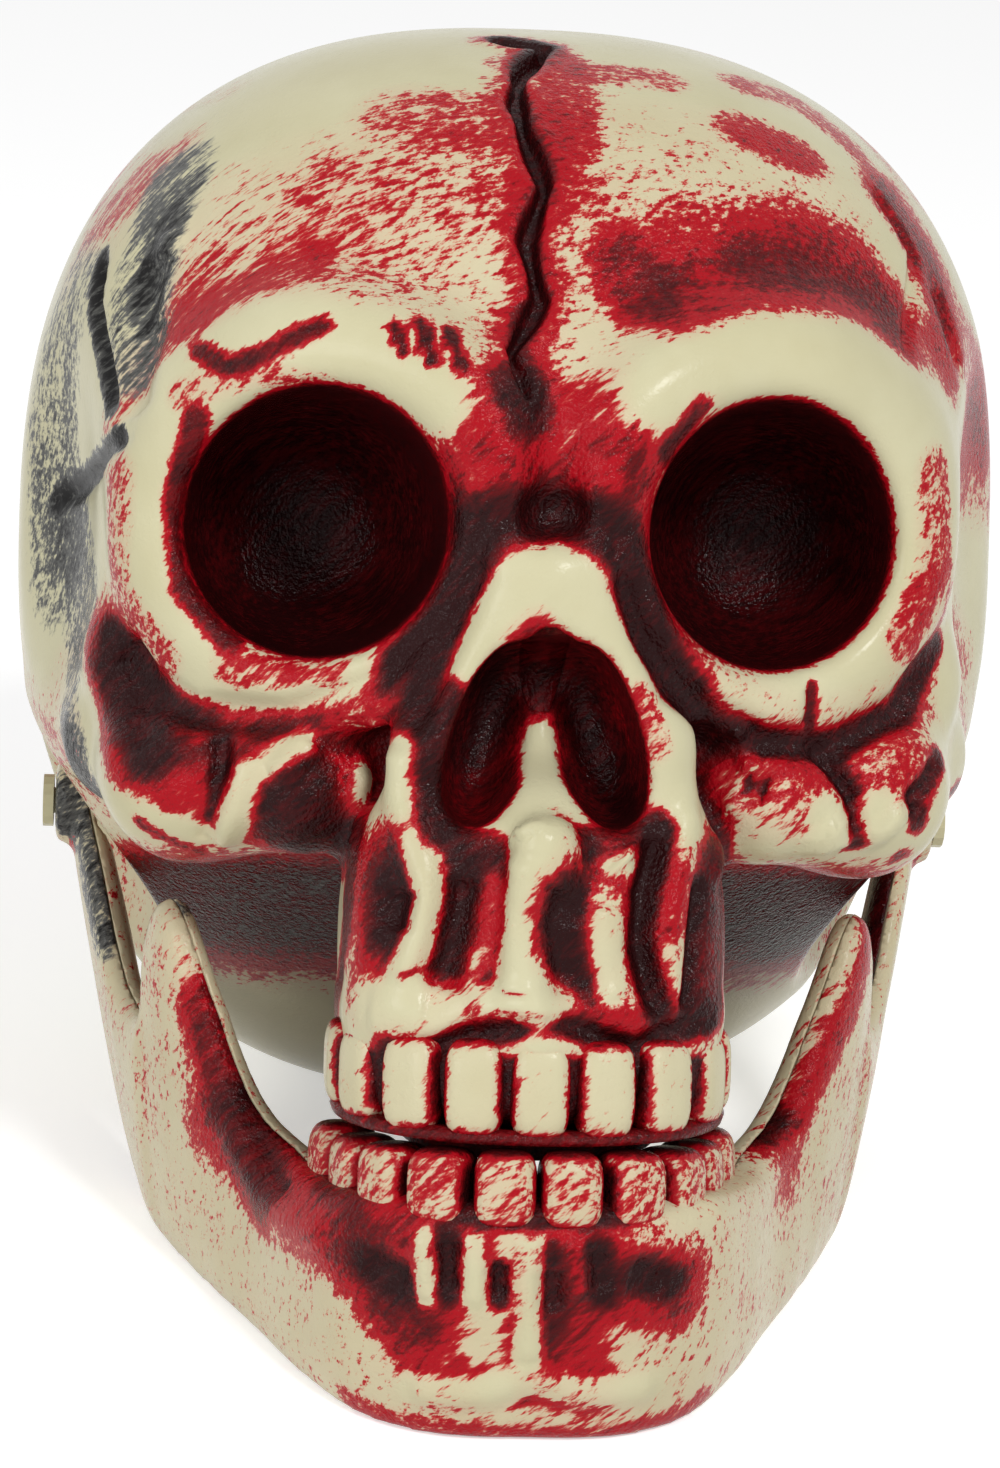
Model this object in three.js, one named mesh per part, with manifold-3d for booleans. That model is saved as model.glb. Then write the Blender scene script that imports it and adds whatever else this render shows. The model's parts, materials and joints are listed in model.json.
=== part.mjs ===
// A life-size skull decoration: a hollow moulded skull in two shells, a hollow hinged lower jaw in two
// shells, and the two push pins with their caps that the jaw swings on.
// Millimetres. The skull is drawn upright: +X to its left side, -Y out of the face, +Z up, with the
// drawing's origin inside the head, on the mid plane. At the end it is leaned back onto its stance.
import * as THREE from "three";
import { mergeVertices } from "three/addons/utils/BufferGeometryUtils.js";
import Module from "manifold-3d";

const wasm = await Module();
wasm.setup();

// Cranium
const craniumWidth = 150;
const craniumLength = 176;
const craniumCentreY = 10;
const craniumCentreZ = 30;
const crownRise = 78;
const occiputDrop = 93;
const faceDrop = 50;
const wall = 2.8;
const seam = 0.3;
const lipLength = 5;
const lipThickness = 1.4;

// Where the front shell meets the rear one, seen from the side
const partingY = 14;
const partingCheekZ = 1;
const partingJawY = -50;
const partingJawZ = -19;

// Orbits: bowls behind thick rolled rims
const orbitSpacing = 63.6;
const orbitHeight = 28.4;
const orbitWidth = 35.5;
const orbitTallness = 36.5;
const orbitFloorY = -38;
const orbitRimY = -68;
const orbitRimRadius = 6.2;
const orbitLipRound = 3;

// Nose
const noseTopZ = 21;
const noseBottomZ = -13;
const noseGapTopZ = 13;
const noseHalfWidth = 12.8;
const noseDepth = 15;
const noseBridgeY = -80;
const noseRimRadius = 5.8;
const spineY = -86;
const spineZ = -15;
const spineRadius = 4.2;
const septumThickness = 2.4;

// Cheekbones
const cheekWidth = 128;
const cheekRadius = 12;
const cheekFrontY = -62;
const cheekLowZ = -8;

// Upper jaw and teeth
const archHalfWidth = 26;
const archFrontY = -85.5;
const archBackY = -41.5;
const upperJawCentreZ = -28;
const upperJawHalfHeight = 25;
const gumCentreZ = -44;
const gumHalfHeight = 9.8;
const gumZ = -41;
const upperTeethBottomZ = -54.4;
const biteSlope = 0.14;
const toothPitch = 8.7;
const toothThickness = 6.8;
const toothGap = 0.5;
const upperTeeth = 11;
const rootRidge = 0.8;

// Crack down the forehead
const crackWidth = 3.2;
const crackDepth = 1.7;

// Lower jaw
const jawHalfWidth = 51;
const hingeInset = 10;
const chinFrontY = -85;
const chinBottomZ = -96;
const jawBedZ = -63;
const bedHalfThickness = 6;
const jawWall = 2;
const lowerTeeth = 10;
const lowerToothPitch = 8.6;
const lowerToothTopZ = -55.8;
const lowerToothThickness = 9;

// Hinge
const hingeY = 4;
const hingeZ = -12;
const pinDiameter = 4;
const pinClearance = 0.3;
const pinHeadDiameter = 8;
const pinHeadHeight = 1.6;
const bossDiameter = 13;
const bossHalfWidth = 3.2;
const jawSideGap = 1;
const capDiameter = 9;
const capHeight = 3;
const pinReach = 4;

// Stance: the drawing is leaned back until chin, jaw angles and occiput lie on the table
const stanceLean = 18.3;
const stanceY = -72;
const flatDepth = 1.2;

const overrun = 60;

// Tools for every shape

const halfWidth = craniumWidth / 2;
const halfLength = craniumLength / 2;
const lerp = THREE.MathUtils.lerp;
const smoothstep = THREE.MathUtils.smoothstep;
const vec = (x, y, z) => new THREE.Vector3(x, y, z);

// A closed geometry as a solid that can be joined and cut.
function solid(geometry) {
  const bare = new THREE.BufferGeometry();
  bare.setAttribute("position", geometry.getAttribute("position").clone());
  if (geometry.index) bare.setIndex(geometry.index.clone());
  const merged = mergeVertices(bare);
  const positions = new Float32Array(merged.attributes.position.array);
  const triangles = new Uint32Array(merged.index.array);
  const made = fromArrays(positions, triangles);
  return made.volume() < 0 ? fromArrays(positions, turnedRound(triangles)) : made;
}

function fromArrays(vertProperties, triVerts) {
  return new wasm.Manifold(new wasm.Mesh({ numProp: 3, vertProperties, triVerts }));
}

function turnedRound(triangles) {
  const turned = triangles.slice();
  for (let corner = 0; corner < turned.length; corner += 3) {
    turned[corner] = triangles[corner + 1];
    turned[corner + 1] = triangles[corner];
  }
  return turned;
}

// The same solid on the other side of the mid plane.
function mirrored(body) {
  const cut = body.getMesh();
  const positions = new Float32Array(cut.vertProperties);
  for (let corner = 0; corner < positions.length; corner += 3) positions[corner] *= -1;
  return fromArrays(positions, turnedRound(new Uint32Array(cut.triVerts)));
}

// Cuts that graze a face leave crumbs: the piece itself is the largest body.
function withoutCrumbs(body) {
  return body.decompose().reduce((kept, next) => (next.volume() > kept.volume() ? next : kept));
}

const join = (bodies) => bodies.reduce((whole, body) => whole.add(body));

const moulded = (finish) => new THREE.MeshStandardMaterial({ ...finish, roughness: 0.3, metalness: 0 });

function named(name, body, finish) {
  const cut = withoutCrumbs(body).getMesh();
  const geometry = new THREE.BufferGeometry();
  geometry.setAttribute("position", new THREE.BufferAttribute(new Float32Array(cut.vertProperties), 3));
  geometry.setIndex(new THREE.BufferAttribute(new Uint32Array(cut.triVerts), 1));
  geometry.computeVertexNormals();
  const mesh = new THREE.Mesh(geometry, moulded(finish));
  mesh.name = name;
  return mesh;
}

// Rings of points with a tip at each end, skinned into one closed solid.
function loft(firstTip, rings, lastTip) {
  const around = rings[0].length;
  const points = [firstTip, ...rings.flat(), lastTip];
  const last = points.length - 1;
  const at = (ring, step) => 1 + ring * around + (step % around);
  const index = [];
  for (let step = 0; step < around; step++) {
    index.push(0, at(0, step + 1), at(0, step));
    for (let ring = 0; ring + 1 < rings.length; ring++) {
      index.push(at(ring, step), at(ring, step + 1), at(ring + 1, step));
      index.push(at(ring + 1, step), at(ring, step + 1), at(ring + 1, step + 1));
    }
    index.push(last, at(rings.length - 1, step), at(rings.length - 1, step + 1));
  }
  const geometry = new THREE.BufferGeometry().setFromPoints(points);
  geometry.setIndex(index);
  return solid(geometry);
}

const roundSides = 14;
function rod(radius, from, to, sides = roundSides) {
  const along = to.clone().sub(from);
  const geometry = new THREE.CylinderGeometry(radius, radius, along.length(), sides);
  const turn = new THREE.Quaternion().setFromUnitVectors(vec(0, 1, 0), along.clone().normalize());
  geometry.applyQuaternion(turn);
  const middle = from.clone().add(to).multiplyScalar(1 / 2);
  geometry.translate(middle.x, middle.y, middle.z);
  return solid(geometry);
}

// An outline in the side view, given as (y, z) corners, pushed out to both sides.
function sidePrism(corners, half = craniumWidth) {
  const shape = new THREE.Shape(corners.map(([y, z]) => new THREE.Vector2(y, z)));
  const geometry = new THREE.ExtrudeGeometry(shape, { depth: 2 * half, bevelEnabled: false });
  geometry.translate(0, 0, -half);
  const turn = new THREE.Matrix4().makeBasis(vec(0, 1, 0), vec(0, 0, 1), vec(1, 0, 0));
  geometry.applyMatrix4(turn);
  return solid(geometry);
}

// Distances, below zero inside. Blending two of them rounds the inside corner where they meet.
function blend(a, b, round) {
  const near = Math.max(round - Math.abs(a - b), 0) / round;
  return Math.min(a, b) - (near * near * round) / 4;
}

const hollowOut = (a, b, round) => -blend(-a, b, round);

function egg(p, centre, radii) {
  const q = p.clone().sub(centre).divide(radii);
  const k = q.length();
  return (k * (k - 1)) / Math.max(q.divide(radii).length(), Number.EPSILON);
}

function taperedRod(p, from, to, fromRadius, toRadius) {
  const along = to.clone().sub(from);
  const offset = p.clone().sub(from);
  const share = THREE.MathUtils.clamp(offset.dot(along) / along.lengthSq(), 0, 1);
  return offset.addScaledVector(along, -share).length() - lerp(fromRadius, toRadius, share);
}

// Skull surface as a blend of its bones. Both sides are alike, so it is worked out on +X only.

// Places inside the head, as shares of half the cranium's width, half its length and its rise
const place = ([x, y, z]) => vec(x * halfWidth, y * halfLength, z * crownRise);
const radii = ([x, y, z]) => vec(x * halfWidth, y * halfWidth, z * halfWidth);
const vaultBluntnessShare = 2.5;
const hingePocketShiftShares = [0.253, 0.106, -0.267];
const hingePocketRadiiShares = [0.453, 0.453, 0.507];
const templePlaceShares = [1.06, -0.42, 0.36];
const templeRadiiShares = [0.2, 0.27, 0.42];
const archRootPlaceShares = [0.84, 0, 0.062];
const cheekCornerShare = 0.74;
const cheekHighShare = 0.84;
const softBlend = halfWidth * 0.16;
const closeBlend = halfWidth * 0.08;
const tightBlend = halfWidth * 0.035;

const hingePocketPlace = radii(hingePocketShiftShares).add(vec(halfWidth - hingeInset, hingeY, hingeZ));
const hingePocketRadii = radii(hingePocketRadiiShares);
const templePlace = place(templePlaceShares);
const templeRadii = radii(templeRadiiShares);

// The vault is a blunt egg: it falls away less under the face than under the back of the head.
function vault(p) {
  const forward = smoothstep(p.y, craniumCentreY - halfLength * 0.8, craniumCentreY + halfLength * 0.5);
  const fall = p.z > craniumCentreZ ? crownRise : lerp(faceDrop, occiputDrop, forward);
  const x = p.x;
  const y = p.y - craniumCentreY;
  const z = p.z - craniumCentreZ;
  const e = vaultBluntnessShare;
  const sum =
    Math.abs(x / halfWidth) ** e + Math.abs(y / halfLength) ** e + Math.abs(z / fall) ** e;
  const k = Math.max(sum ** (1 / e), Number.EPSILON);
  return Math.hypot(x, y, z) * (1 - 1 / k);
}

// The rim round each orbit leans back towards the side of the head and under the brow.
const rimTiltAcross = 0.46;
const rimTiltUp = -0.12;
function rimY(x, z) {
  return orbitRimY + rimTiltAcross * (x - orbitSpacing / 2) + rimTiltUp * (z - orbitHeight);
}
function orbitRim(p) {
  const across = (p.x - orbitSpacing / 2) / (orbitWidth / 2 + orbitRimRadius * 0.75);
  const up = (p.z - orbitHeight) / (orbitTallness / 2 + orbitRimRadius * 0.75);
  const off = (Math.hypot(across, up) - 1) * (orbitWidth / 2 + orbitRimRadius * 0.75);
  return Math.hypot(off, p.y - rimY(p.x, p.z)) - orbitRimRadius;
}

const cheekFront = vec(orbitSpacing / 2, cheekFrontY + cheekRadius * 0.12, cheekLowZ);
const cheekCorner = vec(
  (cheekWidth / 2) * cheekCornerShare,
  cheekFrontY + cheekRadius * 0.92,
  cheekLowZ + cheekRadius * 0.17,
);
const cheekSide = vec(
  cheekWidth / 2 - cheekRadius * 0.64,
  cheekFrontY + cheekRadius * 2.38,
  cheekLowZ + cheekRadius * 0.52,
);
const cheekHighFront = vec(orbitSpacing / 2, cheekFrontY + cheekRadius * 0.25, cheekLowZ + cheekRadius * 0.75);
const cheekHighSide = vec(
  (cheekWidth / 2) * cheekHighShare,
  cheekFrontY + cheekRadius * 1.5,
  cheekLowZ + cheekRadius * 1.33,
);
const archRoot = place(archRootPlaceShares);
function cheekbone(p) {
  const front = taperedRod(p, cheekFront, cheekCorner, cheekRadius * 0.8, cheekRadius);
  const side = taperedRod(p, cheekCorner, cheekSide, cheekRadius, cheekRadius * 0.72);
  const high = taperedRod(p, cheekHighFront, cheekHighSide, cheekRadius * 0.67, cheekRadius * 0.75);
  const back = taperedRod(p, cheekSide, archRoot, cheekRadius * 0.72, cheekRadius * 0.57);
  return blend(blend(blend(front, side, closeBlend), high, closeBlend), back, closeBlend);
}

// The upper jaw is a blunt upright column on a round gum, with ridges over the roots of the teeth.
const archCentreY = (archFrontY + archBackY) / 2;
const archHalfDepth = (archBackY - archFrontY) / 2;
const upperJawBluntnessShare = 2.6;
const archBluntnessShare = 2.3;
const gumBluntnessShare = 5;
function bluntDistance(x, y, z, k) {
  return Math.hypot(x, y, z) * (1 - 1 / Math.max(k, Number.EPSILON));
}

function gumArch(p) {
  const y = p.y - archCentreY;
  const z = p.z - gumCentreZ;
  const e = archBluntnessShare;
  const g = gumBluntnessShare;
  const around = (Math.abs(p.x / archHalfWidth) ** e + Math.abs(y / archHalfDepth) ** e) ** (1 / e);
  return bluntDistance(p.x, y, z, (around ** g + Math.abs(z / gumHalfHeight) ** g) ** (1 / g));
}

function upperJaw(p) {
  const y = p.y - archCentreY;
  const z = p.z - upperJawCentreZ;
  const turn = Math.atan2(p.x, -y);
  const low = smoothstep(-p.z, -noseBottomZ - upperJawHalfHeight * 0.2, -gumZ);
  const ridge = rootRidge * low * Math.cos((turn * 2 * archHalfWidth) / toothPitch);
  const e = upperJawBluntnessShare;
  const sum =
    Math.abs(p.x / (archHalfWidth * 1.04)) ** e +
    Math.abs(y / archHalfDepth) ** e +
    Math.abs(z / upperJawHalfHeight) ** e;
  return blend(bluntDistance(p.x, y, z, sum ** (1 / e)), gumArch(p), closeBlend) - ridge;
}

// The nose bones come down from the root of the nose as an upturned V, and run on as a ridge over the
// eye tooth. The spine stands between them, under the opening.
const noseTop = vec(0, noseBridgeY + noseRimRadius * 0.26, noseTopZ);
const noseSide = vec(noseHalfWidth + noseRimRadius * 0.3, noseBridgeY + noseRimRadius * 0.7, -noseRimRadius * 0.17);
const noseFoot = vec(noseHalfWidth + noseRimRadius * 0.72, noseBridgeY + noseRimRadius * 0.95, noseBottomZ);
const eyeToothRoot = vec(archHalfWidth * 0.73, archCentreY - archHalfDepth * 0.41, gumZ);
const spine = vec(0, spineY, spineZ);
const spineFoot = vec(0, archFrontY + spineRadius * 0.36, gumZ);
const browMiddle = vec(0, orbitRimY - orbitRimRadius * 0.4, orbitHeight + orbitTallness * 0.36);
const browSide = vec(orbitSpacing / 2, orbitRimY, orbitHeight + orbitTallness * 0.59);
const glabella = vec(0, orbitRimY + orbitRimRadius, orbitHeight + orbitTallness * 0.37);
const glabellaRadii = vec(orbitSpacing * 0.315, orbitSpacing * 0.228, orbitTallness * 0.466);
function noseBones(p) {
  const bridge = taperedRod(p, noseTop, noseSide, noseRimRadius * 1.27, noseRimRadius);
  const wing = taperedRod(p, noseSide, noseFoot, noseRimRadius, noseRimRadius * 0.96);
  const root = taperedRod(p, noseFoot, eyeToothRoot, noseRimRadius * 0.96, noseRimRadius * 0.86);
  const point = taperedRod(p, spine, spineFoot, spineRadius, spineRadius * 0.76);
  return blend(blend(blend(bridge, wing, tightBlend), root, tightBlend), point, tightBlend);
}

function skull(p) {
  const q = vec(Math.abs(p.x), p.y, p.z);
  let d = hollowOut(vault(q), egg(q, templePlace, templeRadii), softBlend);
  d = blend(d, egg(q, glabella, glabellaRadii), softBlend);
  d = blend(d, taperedRod(q, browMiddle, browSide, orbitRimRadius * 1.1, orbitRimRadius), softBlend);
  d = blend(d, upperJaw(q), softBlend);
  d = blend(d, cheekbone(q), closeBlend);
  const high = smoothstep(q.z, orbitHeight - orbitTallness * 0.12, orbitHeight + orbitTallness * 0.6);
  d = blend(d, orbitRim(q), lerp(tightBlend, softBlend, high));
  return blend(d, noseBones(q), closeBlend * 0.67);
}

// The surface, or one that lies inside it by a depth, is met along rays from inside the face, so
// that the face gets the closest points.
const rayCentre = place([0, -0.5, 0.1]);
function meet(direction, depth) {
  const reach = craniumLength + crownRise;
  const stepSize = halfWidth / 50;
  const at = (r) => skull(rayCentre.clone().addScaledVector(direction, r)) + depth;
  let outside = reach;
  while (outside > stepSize && at(outside - stepSize) > 0) outside -= stepSize;
  let inside = outside - stepSize;
  for (let halving = 0; halving < 12; halving++) {
    const middle = (inside + outside) / 2;
    if (at(middle) > 0) outside = middle;
    else inside = middle;
  }
  return rayCentre.clone().addScaledVector(direction, outside);
}

const faceDensity = 0.5;
const levelDensity = 0.12;
function skullSkin(depth, meridians, parallels) {
  const rings = [];
  for (let ring = 1; ring < parallels; ring++) {
    const level = ring / parallels;
    const fall = Math.PI * (1 - level) + levelDensity * Math.sin(2 * Math.PI * level);
    const points = [];
    for (let step = 0; step < meridians; step++) {
      const share = step / meridians;
      const turn = 2 * Math.PI * share - faceDensity * Math.sin(2 * Math.PI * share);
      const flat = Math.sin(fall);
      const direction = vec(flat * Math.sin(turn), -flat * Math.cos(turn), Math.cos(fall));
      points.push(meet(direction, depth));
    }
    rings.push(points);
  }
  return loft(meet(vec(0, 0, -1), depth), rings, meet(vec(0, 0, 1), depth));
}

// Cutting tools for the hollows of the face. Each is made a second time, larger by the wall, to keep
// the skin whole behind the hollow.

// A ball whose section is blunter than a circle, turned and placed.
function bluntBall(centre, size, bluntness, around, high, lean = 0, heading = 0) {
  const geometry = new THREE.SphereGeometry(1, around, high);
  const position = geometry.getAttribute("position");
  const point = vec(0, 0, 0);
  for (let i = 0; i < position.count; i++) {
    point.fromBufferAttribute(position, i);
    const sum =
      Math.abs(point.x) ** bluntness + Math.abs(point.y) ** bluntness + Math.abs(point.z) ** bluntness;
    point.divideScalar(sum ** (1 / bluntness)).multiply(size);
    position.setXYZ(i, point.x, point.y, point.z);
  }
  geometry.rotateY(lean);
  geometry.rotateZ(heading);
  geometry.translate(centre.x, centre.y, centre.z);
  return solid(geometry);
}

// The orbit bowl: a deep blunt cup from its rim to its floor, with a flared lip in front of the rim.
function orbitBowl(grow, around, steps) {
  const profile = [new THREE.Vector2(0, 1)];
  for (let step = 1; step <= steps; step++) {
    const depthShare = 1 - step / steps;
    profile.push(new THREE.Vector2((1 - depthShare ** 2.6) ** (1 / 2.2), depthShare));
  }
  const lipShare = orbitLipRound / (orbitWidth / 2);
  const depth = orbitFloorY - orbitRimY;
  for (let step = 1; step <= 3; step++) {
    const turn = (Math.PI / 2) * (step / 3);
    const out = 1 + lipShare * (1 - Math.cos(turn));
    profile.push(new THREE.Vector2(out, (-2 * orbitLipRound * Math.sin(turn)) / depth));
  }
  profile.push(new THREE.Vector2(profile.at(-1).x, -overrun / depth), new THREE.Vector2(0, -overrun / depth));
  const geometry = new THREE.LatheGeometry(profile, around);
  const position = geometry.getAttribute("position");
  for (let i = 0; i < position.count; i++) {
    const x = orbitSpacing / 2 + position.getX(i) * (orbitWidth / 2 + grow);
    const z = orbitHeight + position.getZ(i) * (orbitTallness / 2 + grow);
    const y = lerp(rimY(x, z), orbitFloorY + grow, position.getY(i));
    position.setXYZ(i, x, y, z);
  }
  return solid(geometry);
}

// Each half of the pear-shaped nose opening leans its top towards the septum. They meet at the top.
const noseLean = 0.3;
function noseHollow(grow, around, high) {
  const size = vec(
    (noseHalfWidth - septumThickness / 2) / 2 + grow,
    noseDepth + grow,
    (noseGapTopZ - noseBottomZ) / 2 + grow,
  );
  const centre = vec((noseHalfWidth + septumThickness / 2) / 2, noseBridgeY, (noseGapTopZ + noseBottomZ) / 2);
  return bluntBall(centre, size, 2.2, around, high, -noseLean);
}

function noseTopHollow(grow, around, high) {
  const size = vec(noseHalfWidth * 0.34 + grow, noseDepth * 0.93 + grow, noseGapTopZ * 0.54 + grow);
  return bluntBall(vec(0, noseBridgeY, noseGapTopZ * 0.58), size, 2, around, high);
}

// The crack wanders up the forehead and over the crown, a notch that tapers out at both ends.
const crackSwayShares = [-0.5, -0.9, -0.95, -0.55, 0.05, 0.1, -0.35, -0.5, -0.05, 0.4, 0.1, -0.4, -0.8, -0.6, 0.1, -0.5, -0.9];
const crackWidthShares = [0.2, 0.9, 0.7, 1, 1.1, 0.9, 0.7, 1, 1.2, 1, 0.8, 0.9, 1.1, 1, 1.2, 0.8, 0.2];
const crackSway = crackWidth * 1.9;
const crackFromTurn = 0.19;
const crackToTurn = 1.5;
function crack() {
  const sway = new THREE.SplineCurve(crackSwayShares.map((share) => new THREE.Vector2(0, share)));
  const widths = new THREE.SplineCurve(crackWidthShares.map((share) => new THREE.Vector2(0, share)));
  const heart = vec(0, craniumCentreY, craniumCentreZ);
  const steps = Math.round(crackSwayShares.length * 1.6);
  const rings = [];
  for (let step = 0; step <= steps; step++) {
    const share = step / steps;
    const turn = lerp(crackFromTurn, crackToTurn, share);
    const x = crackSway * (sway.getPoint(share).y - 0.3);
    const half = (crackWidth / 2) * Math.max(widths.getPoint(share).y, 0.15);
    const out = vec(0, -Math.cos(turn), Math.sin(turn));
    const along = craniumLength;
    let low = 0;
    let high = along;
    for (let halving = 0; halving < 24; halving++) {
      const middle = (low + high) / 2;
      if (skull(heart.clone().addScaledVector(out, middle).setX(x)) > 0) high = middle;
      else low = middle;
    }
    const surface = heart.clone().addScaledVector(out, high).setX(x);
    const deep = crackDepth * Math.min(1, Math.max(widths.getPoint(share).y, 0.2));
    rings.push([
      surface.clone().addScaledVector(out, -deep),
      surface.clone().addScaledVector(out, crackDepth).add(vec(half, 0, 0)),
      surface.clone().addScaledVector(out, crackDepth).add(vec(-half, 0, 0)),
    ]);
  }
  const tip = (ring) => ring.reduce((sum, p) => sum.add(p), vec(0, 0, 0)).divideScalar(ring.length);
  return loft(tip(rings[0]), rings, tip(rings.at(-1)));
}

// Teeth stand along an arch at an even pitch: the places and headings at equal steps along a curve.
function alongArch(pointAt, count, pitch) {
  const fine = 400;
  const places = [];
  const half = ((count - 1) / 2) * pitch;
  const walk = [{ length: 0, point: pointAt(0) }];
  for (let step = 1; step <= fine; step++) {
    const point = pointAt(step / fine);
    walk.push({ length: walk.at(-1).length + point.distanceTo(walk.at(-1).point), point });
  }
  for (let tooth = 0; tooth < count; tooth++) {
    const want = tooth * pitch - half;
    const found = walk.findIndex(({ length }) => length >= Math.abs(want));
    const at = Math.max(found, 1);
    const point = walk[at].point.clone();
    const along = walk[at].point.clone().sub(walk[at - 1].point);
    const side = Math.sign(want) || 1;
    const heading = Math.atan2(along.y, along.x);
    if (Math.abs(want) < pitch / 4) point.x = 0;
    places.push({ point: vec(point.x * side, point.y, point.z), heading: heading * side, away: Math.abs(want) });
  }
  return places;
}

function upperArch(share) {
  const turn = (share * Math.PI) / 2;
  const power = 2 / archBluntnessShare;
  const sunk = toothThickness * 0.15;
  const x = (archHalfWidth - sunk) * Math.sin(turn) ** power;
  return vec(x, archCentreY - (archHalfDepth - sunk) * Math.max(Math.cos(turn), 0) ** power, 0);
}

const toothBluntness = 3.6;
function upperToothRow() {
  return alongArch(upperArch, upperTeeth, toothPitch).map(({ point, heading }) => {
    const rise = biteSlope * (point.y - archFrontY - toothThickness / 4);
    const low = upperTeethBottomZ + rise;
    const high = gumZ + rise * 0.4;
    const size = vec((toothPitch - toothGap) / 2, toothThickness / 2, (high - low) / 2);
    const centre = vec(point.x, point.y, (high + low) / 2);
    return bluntBall(centre, size, toothBluntness, 8, 4, 0, heading);
  });
}

// Lower jaw: sections stand along the jaw from chin to hinge, each a rounded blade between a point on
// the lower border and one on the upper edge. Places are shares of half the jaw's width, of the way
// from chin to hinge, and of the rise from the lower border to the hinge.
const jawTopShares = [
  [0, 0, 0.4], [0.25, 0.02, 0.4], [0.43, 0.1, 0.4], [0.545, 0.235, 0.41], [0.63, 0.37, 0.44],
  [0.735, 0.45, 0.5], [0.86, 0.49, 0.68], [0.97, 0.54, 0.84], [1.01, 0.61, 0.82], [1.04, 0.68, 0.64],
  [1.11, 0.8, 0.68], [1.22, 0.9, 0.92], [1.294, 1, 1.07], [1.294, 1.08, 1.02],
];
const jawBottomShares = [
  [0, 0.13, 0], [0.23, 0.14, 0], [0.4, 0.19, 0.012], [0.57, 0.3, 0.055], [0.71, 0.44, 0.107],
  [0.82, 0.57, 0.155], [0.88, 0.65, 0.18], [0.92, 0.71, 0.2], [0.94, 0.745, 0.215], [0.96, 0.78, 0.235],
  [0.98, 0.855, 0.25], [1, 0.89, 0.27], [1.02, 0.925, 0.305], [1.04, 0.955, 0.35],
];
const jawThicknessShares = [1, 1, 1, 0.98, 0.9, 0.82, 0.74, 0.7, 0.68, 0.62, 0.6, 0.56, 0.53, 0.4];
const jawHingeHalfWidth = halfWidth - hingeInset;
const jawSpan = hingeY - chinFrontY;
const jawRise = hingeZ - chinBottomZ;
const wideningShare = jawHingeHalfWidth / (jawHalfWidth * jawTopShares[12][0]);

function jawPlace([x, y, z]) {
  const wider = x > 1 ? lerp(1, wideningShare, (x - 1) / (jawTopShares[12][0] - 1)) : 1;
  return vec(x * jawHalfWidth * wider, chinFrontY + y * jawSpan, chinBottomZ + z * jawRise);
}

function throughBoth(places) {
  const left = places.slice(1).map((point) => point.clone().setX(-point.x)).reverse();
  return new THREE.CatmullRomCurve3([...left, ...places]);
}

const jawTop = throughBoth(jawTopShares.map(jawPlace));
const jawBottom = throughBoth(jawBottomShares.map(jawPlace));
const jawThickness = throughBoth(
  jawThicknessShares.map((share, i) => vec(i / (jawThicknessShares.length - 1), share, 0)),
);

// A blade's own frame at a share of the way round, from one hinge to the other.
function blade(share) {
  const top = jawTop.getPoint(share);
  const bottom = jawBottom.getPoint(share);
  const near = 1 / 400;
  const before = Math.max(share - near, 0);
  const after = Math.min(share + near, 1);
  const middle = (s) => jawTop.getPoint(s).add(jawBottom.getPoint(s)).multiplyScalar(1 / 2);
  const along = middle(after).sub(middle(before)).setZ(0).normalize();
  const up = top.clone().sub(bottom);
  const outward = along.clone().cross(up).normalize();
  const half = bedHalfThickness * jawThickness.getPoint(share).y;
  return { top, bottom, up, outward, half };
}

const bladeBluntness = 3;
const edgeWallShare = 1.6;
function jawLoft(inset, from, to, stations, around) {
  const rings = [];
  for (let station = 0; station <= stations; station++) {
    const share = lerp(from, to, station / stations);
    const { top, bottom, up, outward, half } = blade(share);
    const middle = top.clone().add(bottom).multiplyScalar(1 / 2);
    const length = up.length() / 2 - inset * edgeWallShare;
    const axis = up.clone().normalize();
    const ring = [];
    for (let step = 0; step < around; step++) {
      const turn = (2 * Math.PI * (step + 1 / 2)) / around;
      const c = Math.cos(turn);
      const s = Math.sin(turn);
      const sideways = Math.sign(c) * Math.abs(c) ** (2 / bladeBluntness) * (half - inset);
      const upright = Math.sign(s) * Math.abs(s) ** (2 / bladeBluntness) * length;
      ring.push(middle.clone().addScaledVector(outward, sideways).addScaledVector(axis, upright));
    }
    rings.push(ring);
  }
  const tip = (ring) => ring.reduce((sum, p) => sum.add(p), vec(0, 0, 0)).divideScalar(ring.length);
  return loft(tip(rings[0]), rings, tip(rings.at(-1)));
}

// The parting surface runs down the middle of every blade. The core is all that lies inside it.
const coreHeightShares = [-0.12, 1.15];
const coreStations = 22;
function jawCore(shift) {
  const stations = coreStations;
  const rings = [];
  for (const heightShare of coreHeightShares) {
    const ring = [];
    for (let station = 0; station <= stations; station++) {
      const { bottom, up, outward } = blade(station / stations);
      const point = bottom.clone().addScaledVector(up, heightShare);
      ring.push(point.addScaledVector(outward.clone().setZ(0).normalize(), shift));
    }
    const first = ring[0];
    const last = ring.at(-1);
    ring.push(last.clone().setY(last.y + overrun), first.clone().setY(first.y + overrun));
    rings.push(ring);
  }
  const tip = (ring) => ring.reduce((sum, p) => sum.add(p), vec(0, 0, 0)).divideScalar(ring.length);
  return loft(tip(rings[0]), rings, tip(rings.at(-1)));
}

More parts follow.
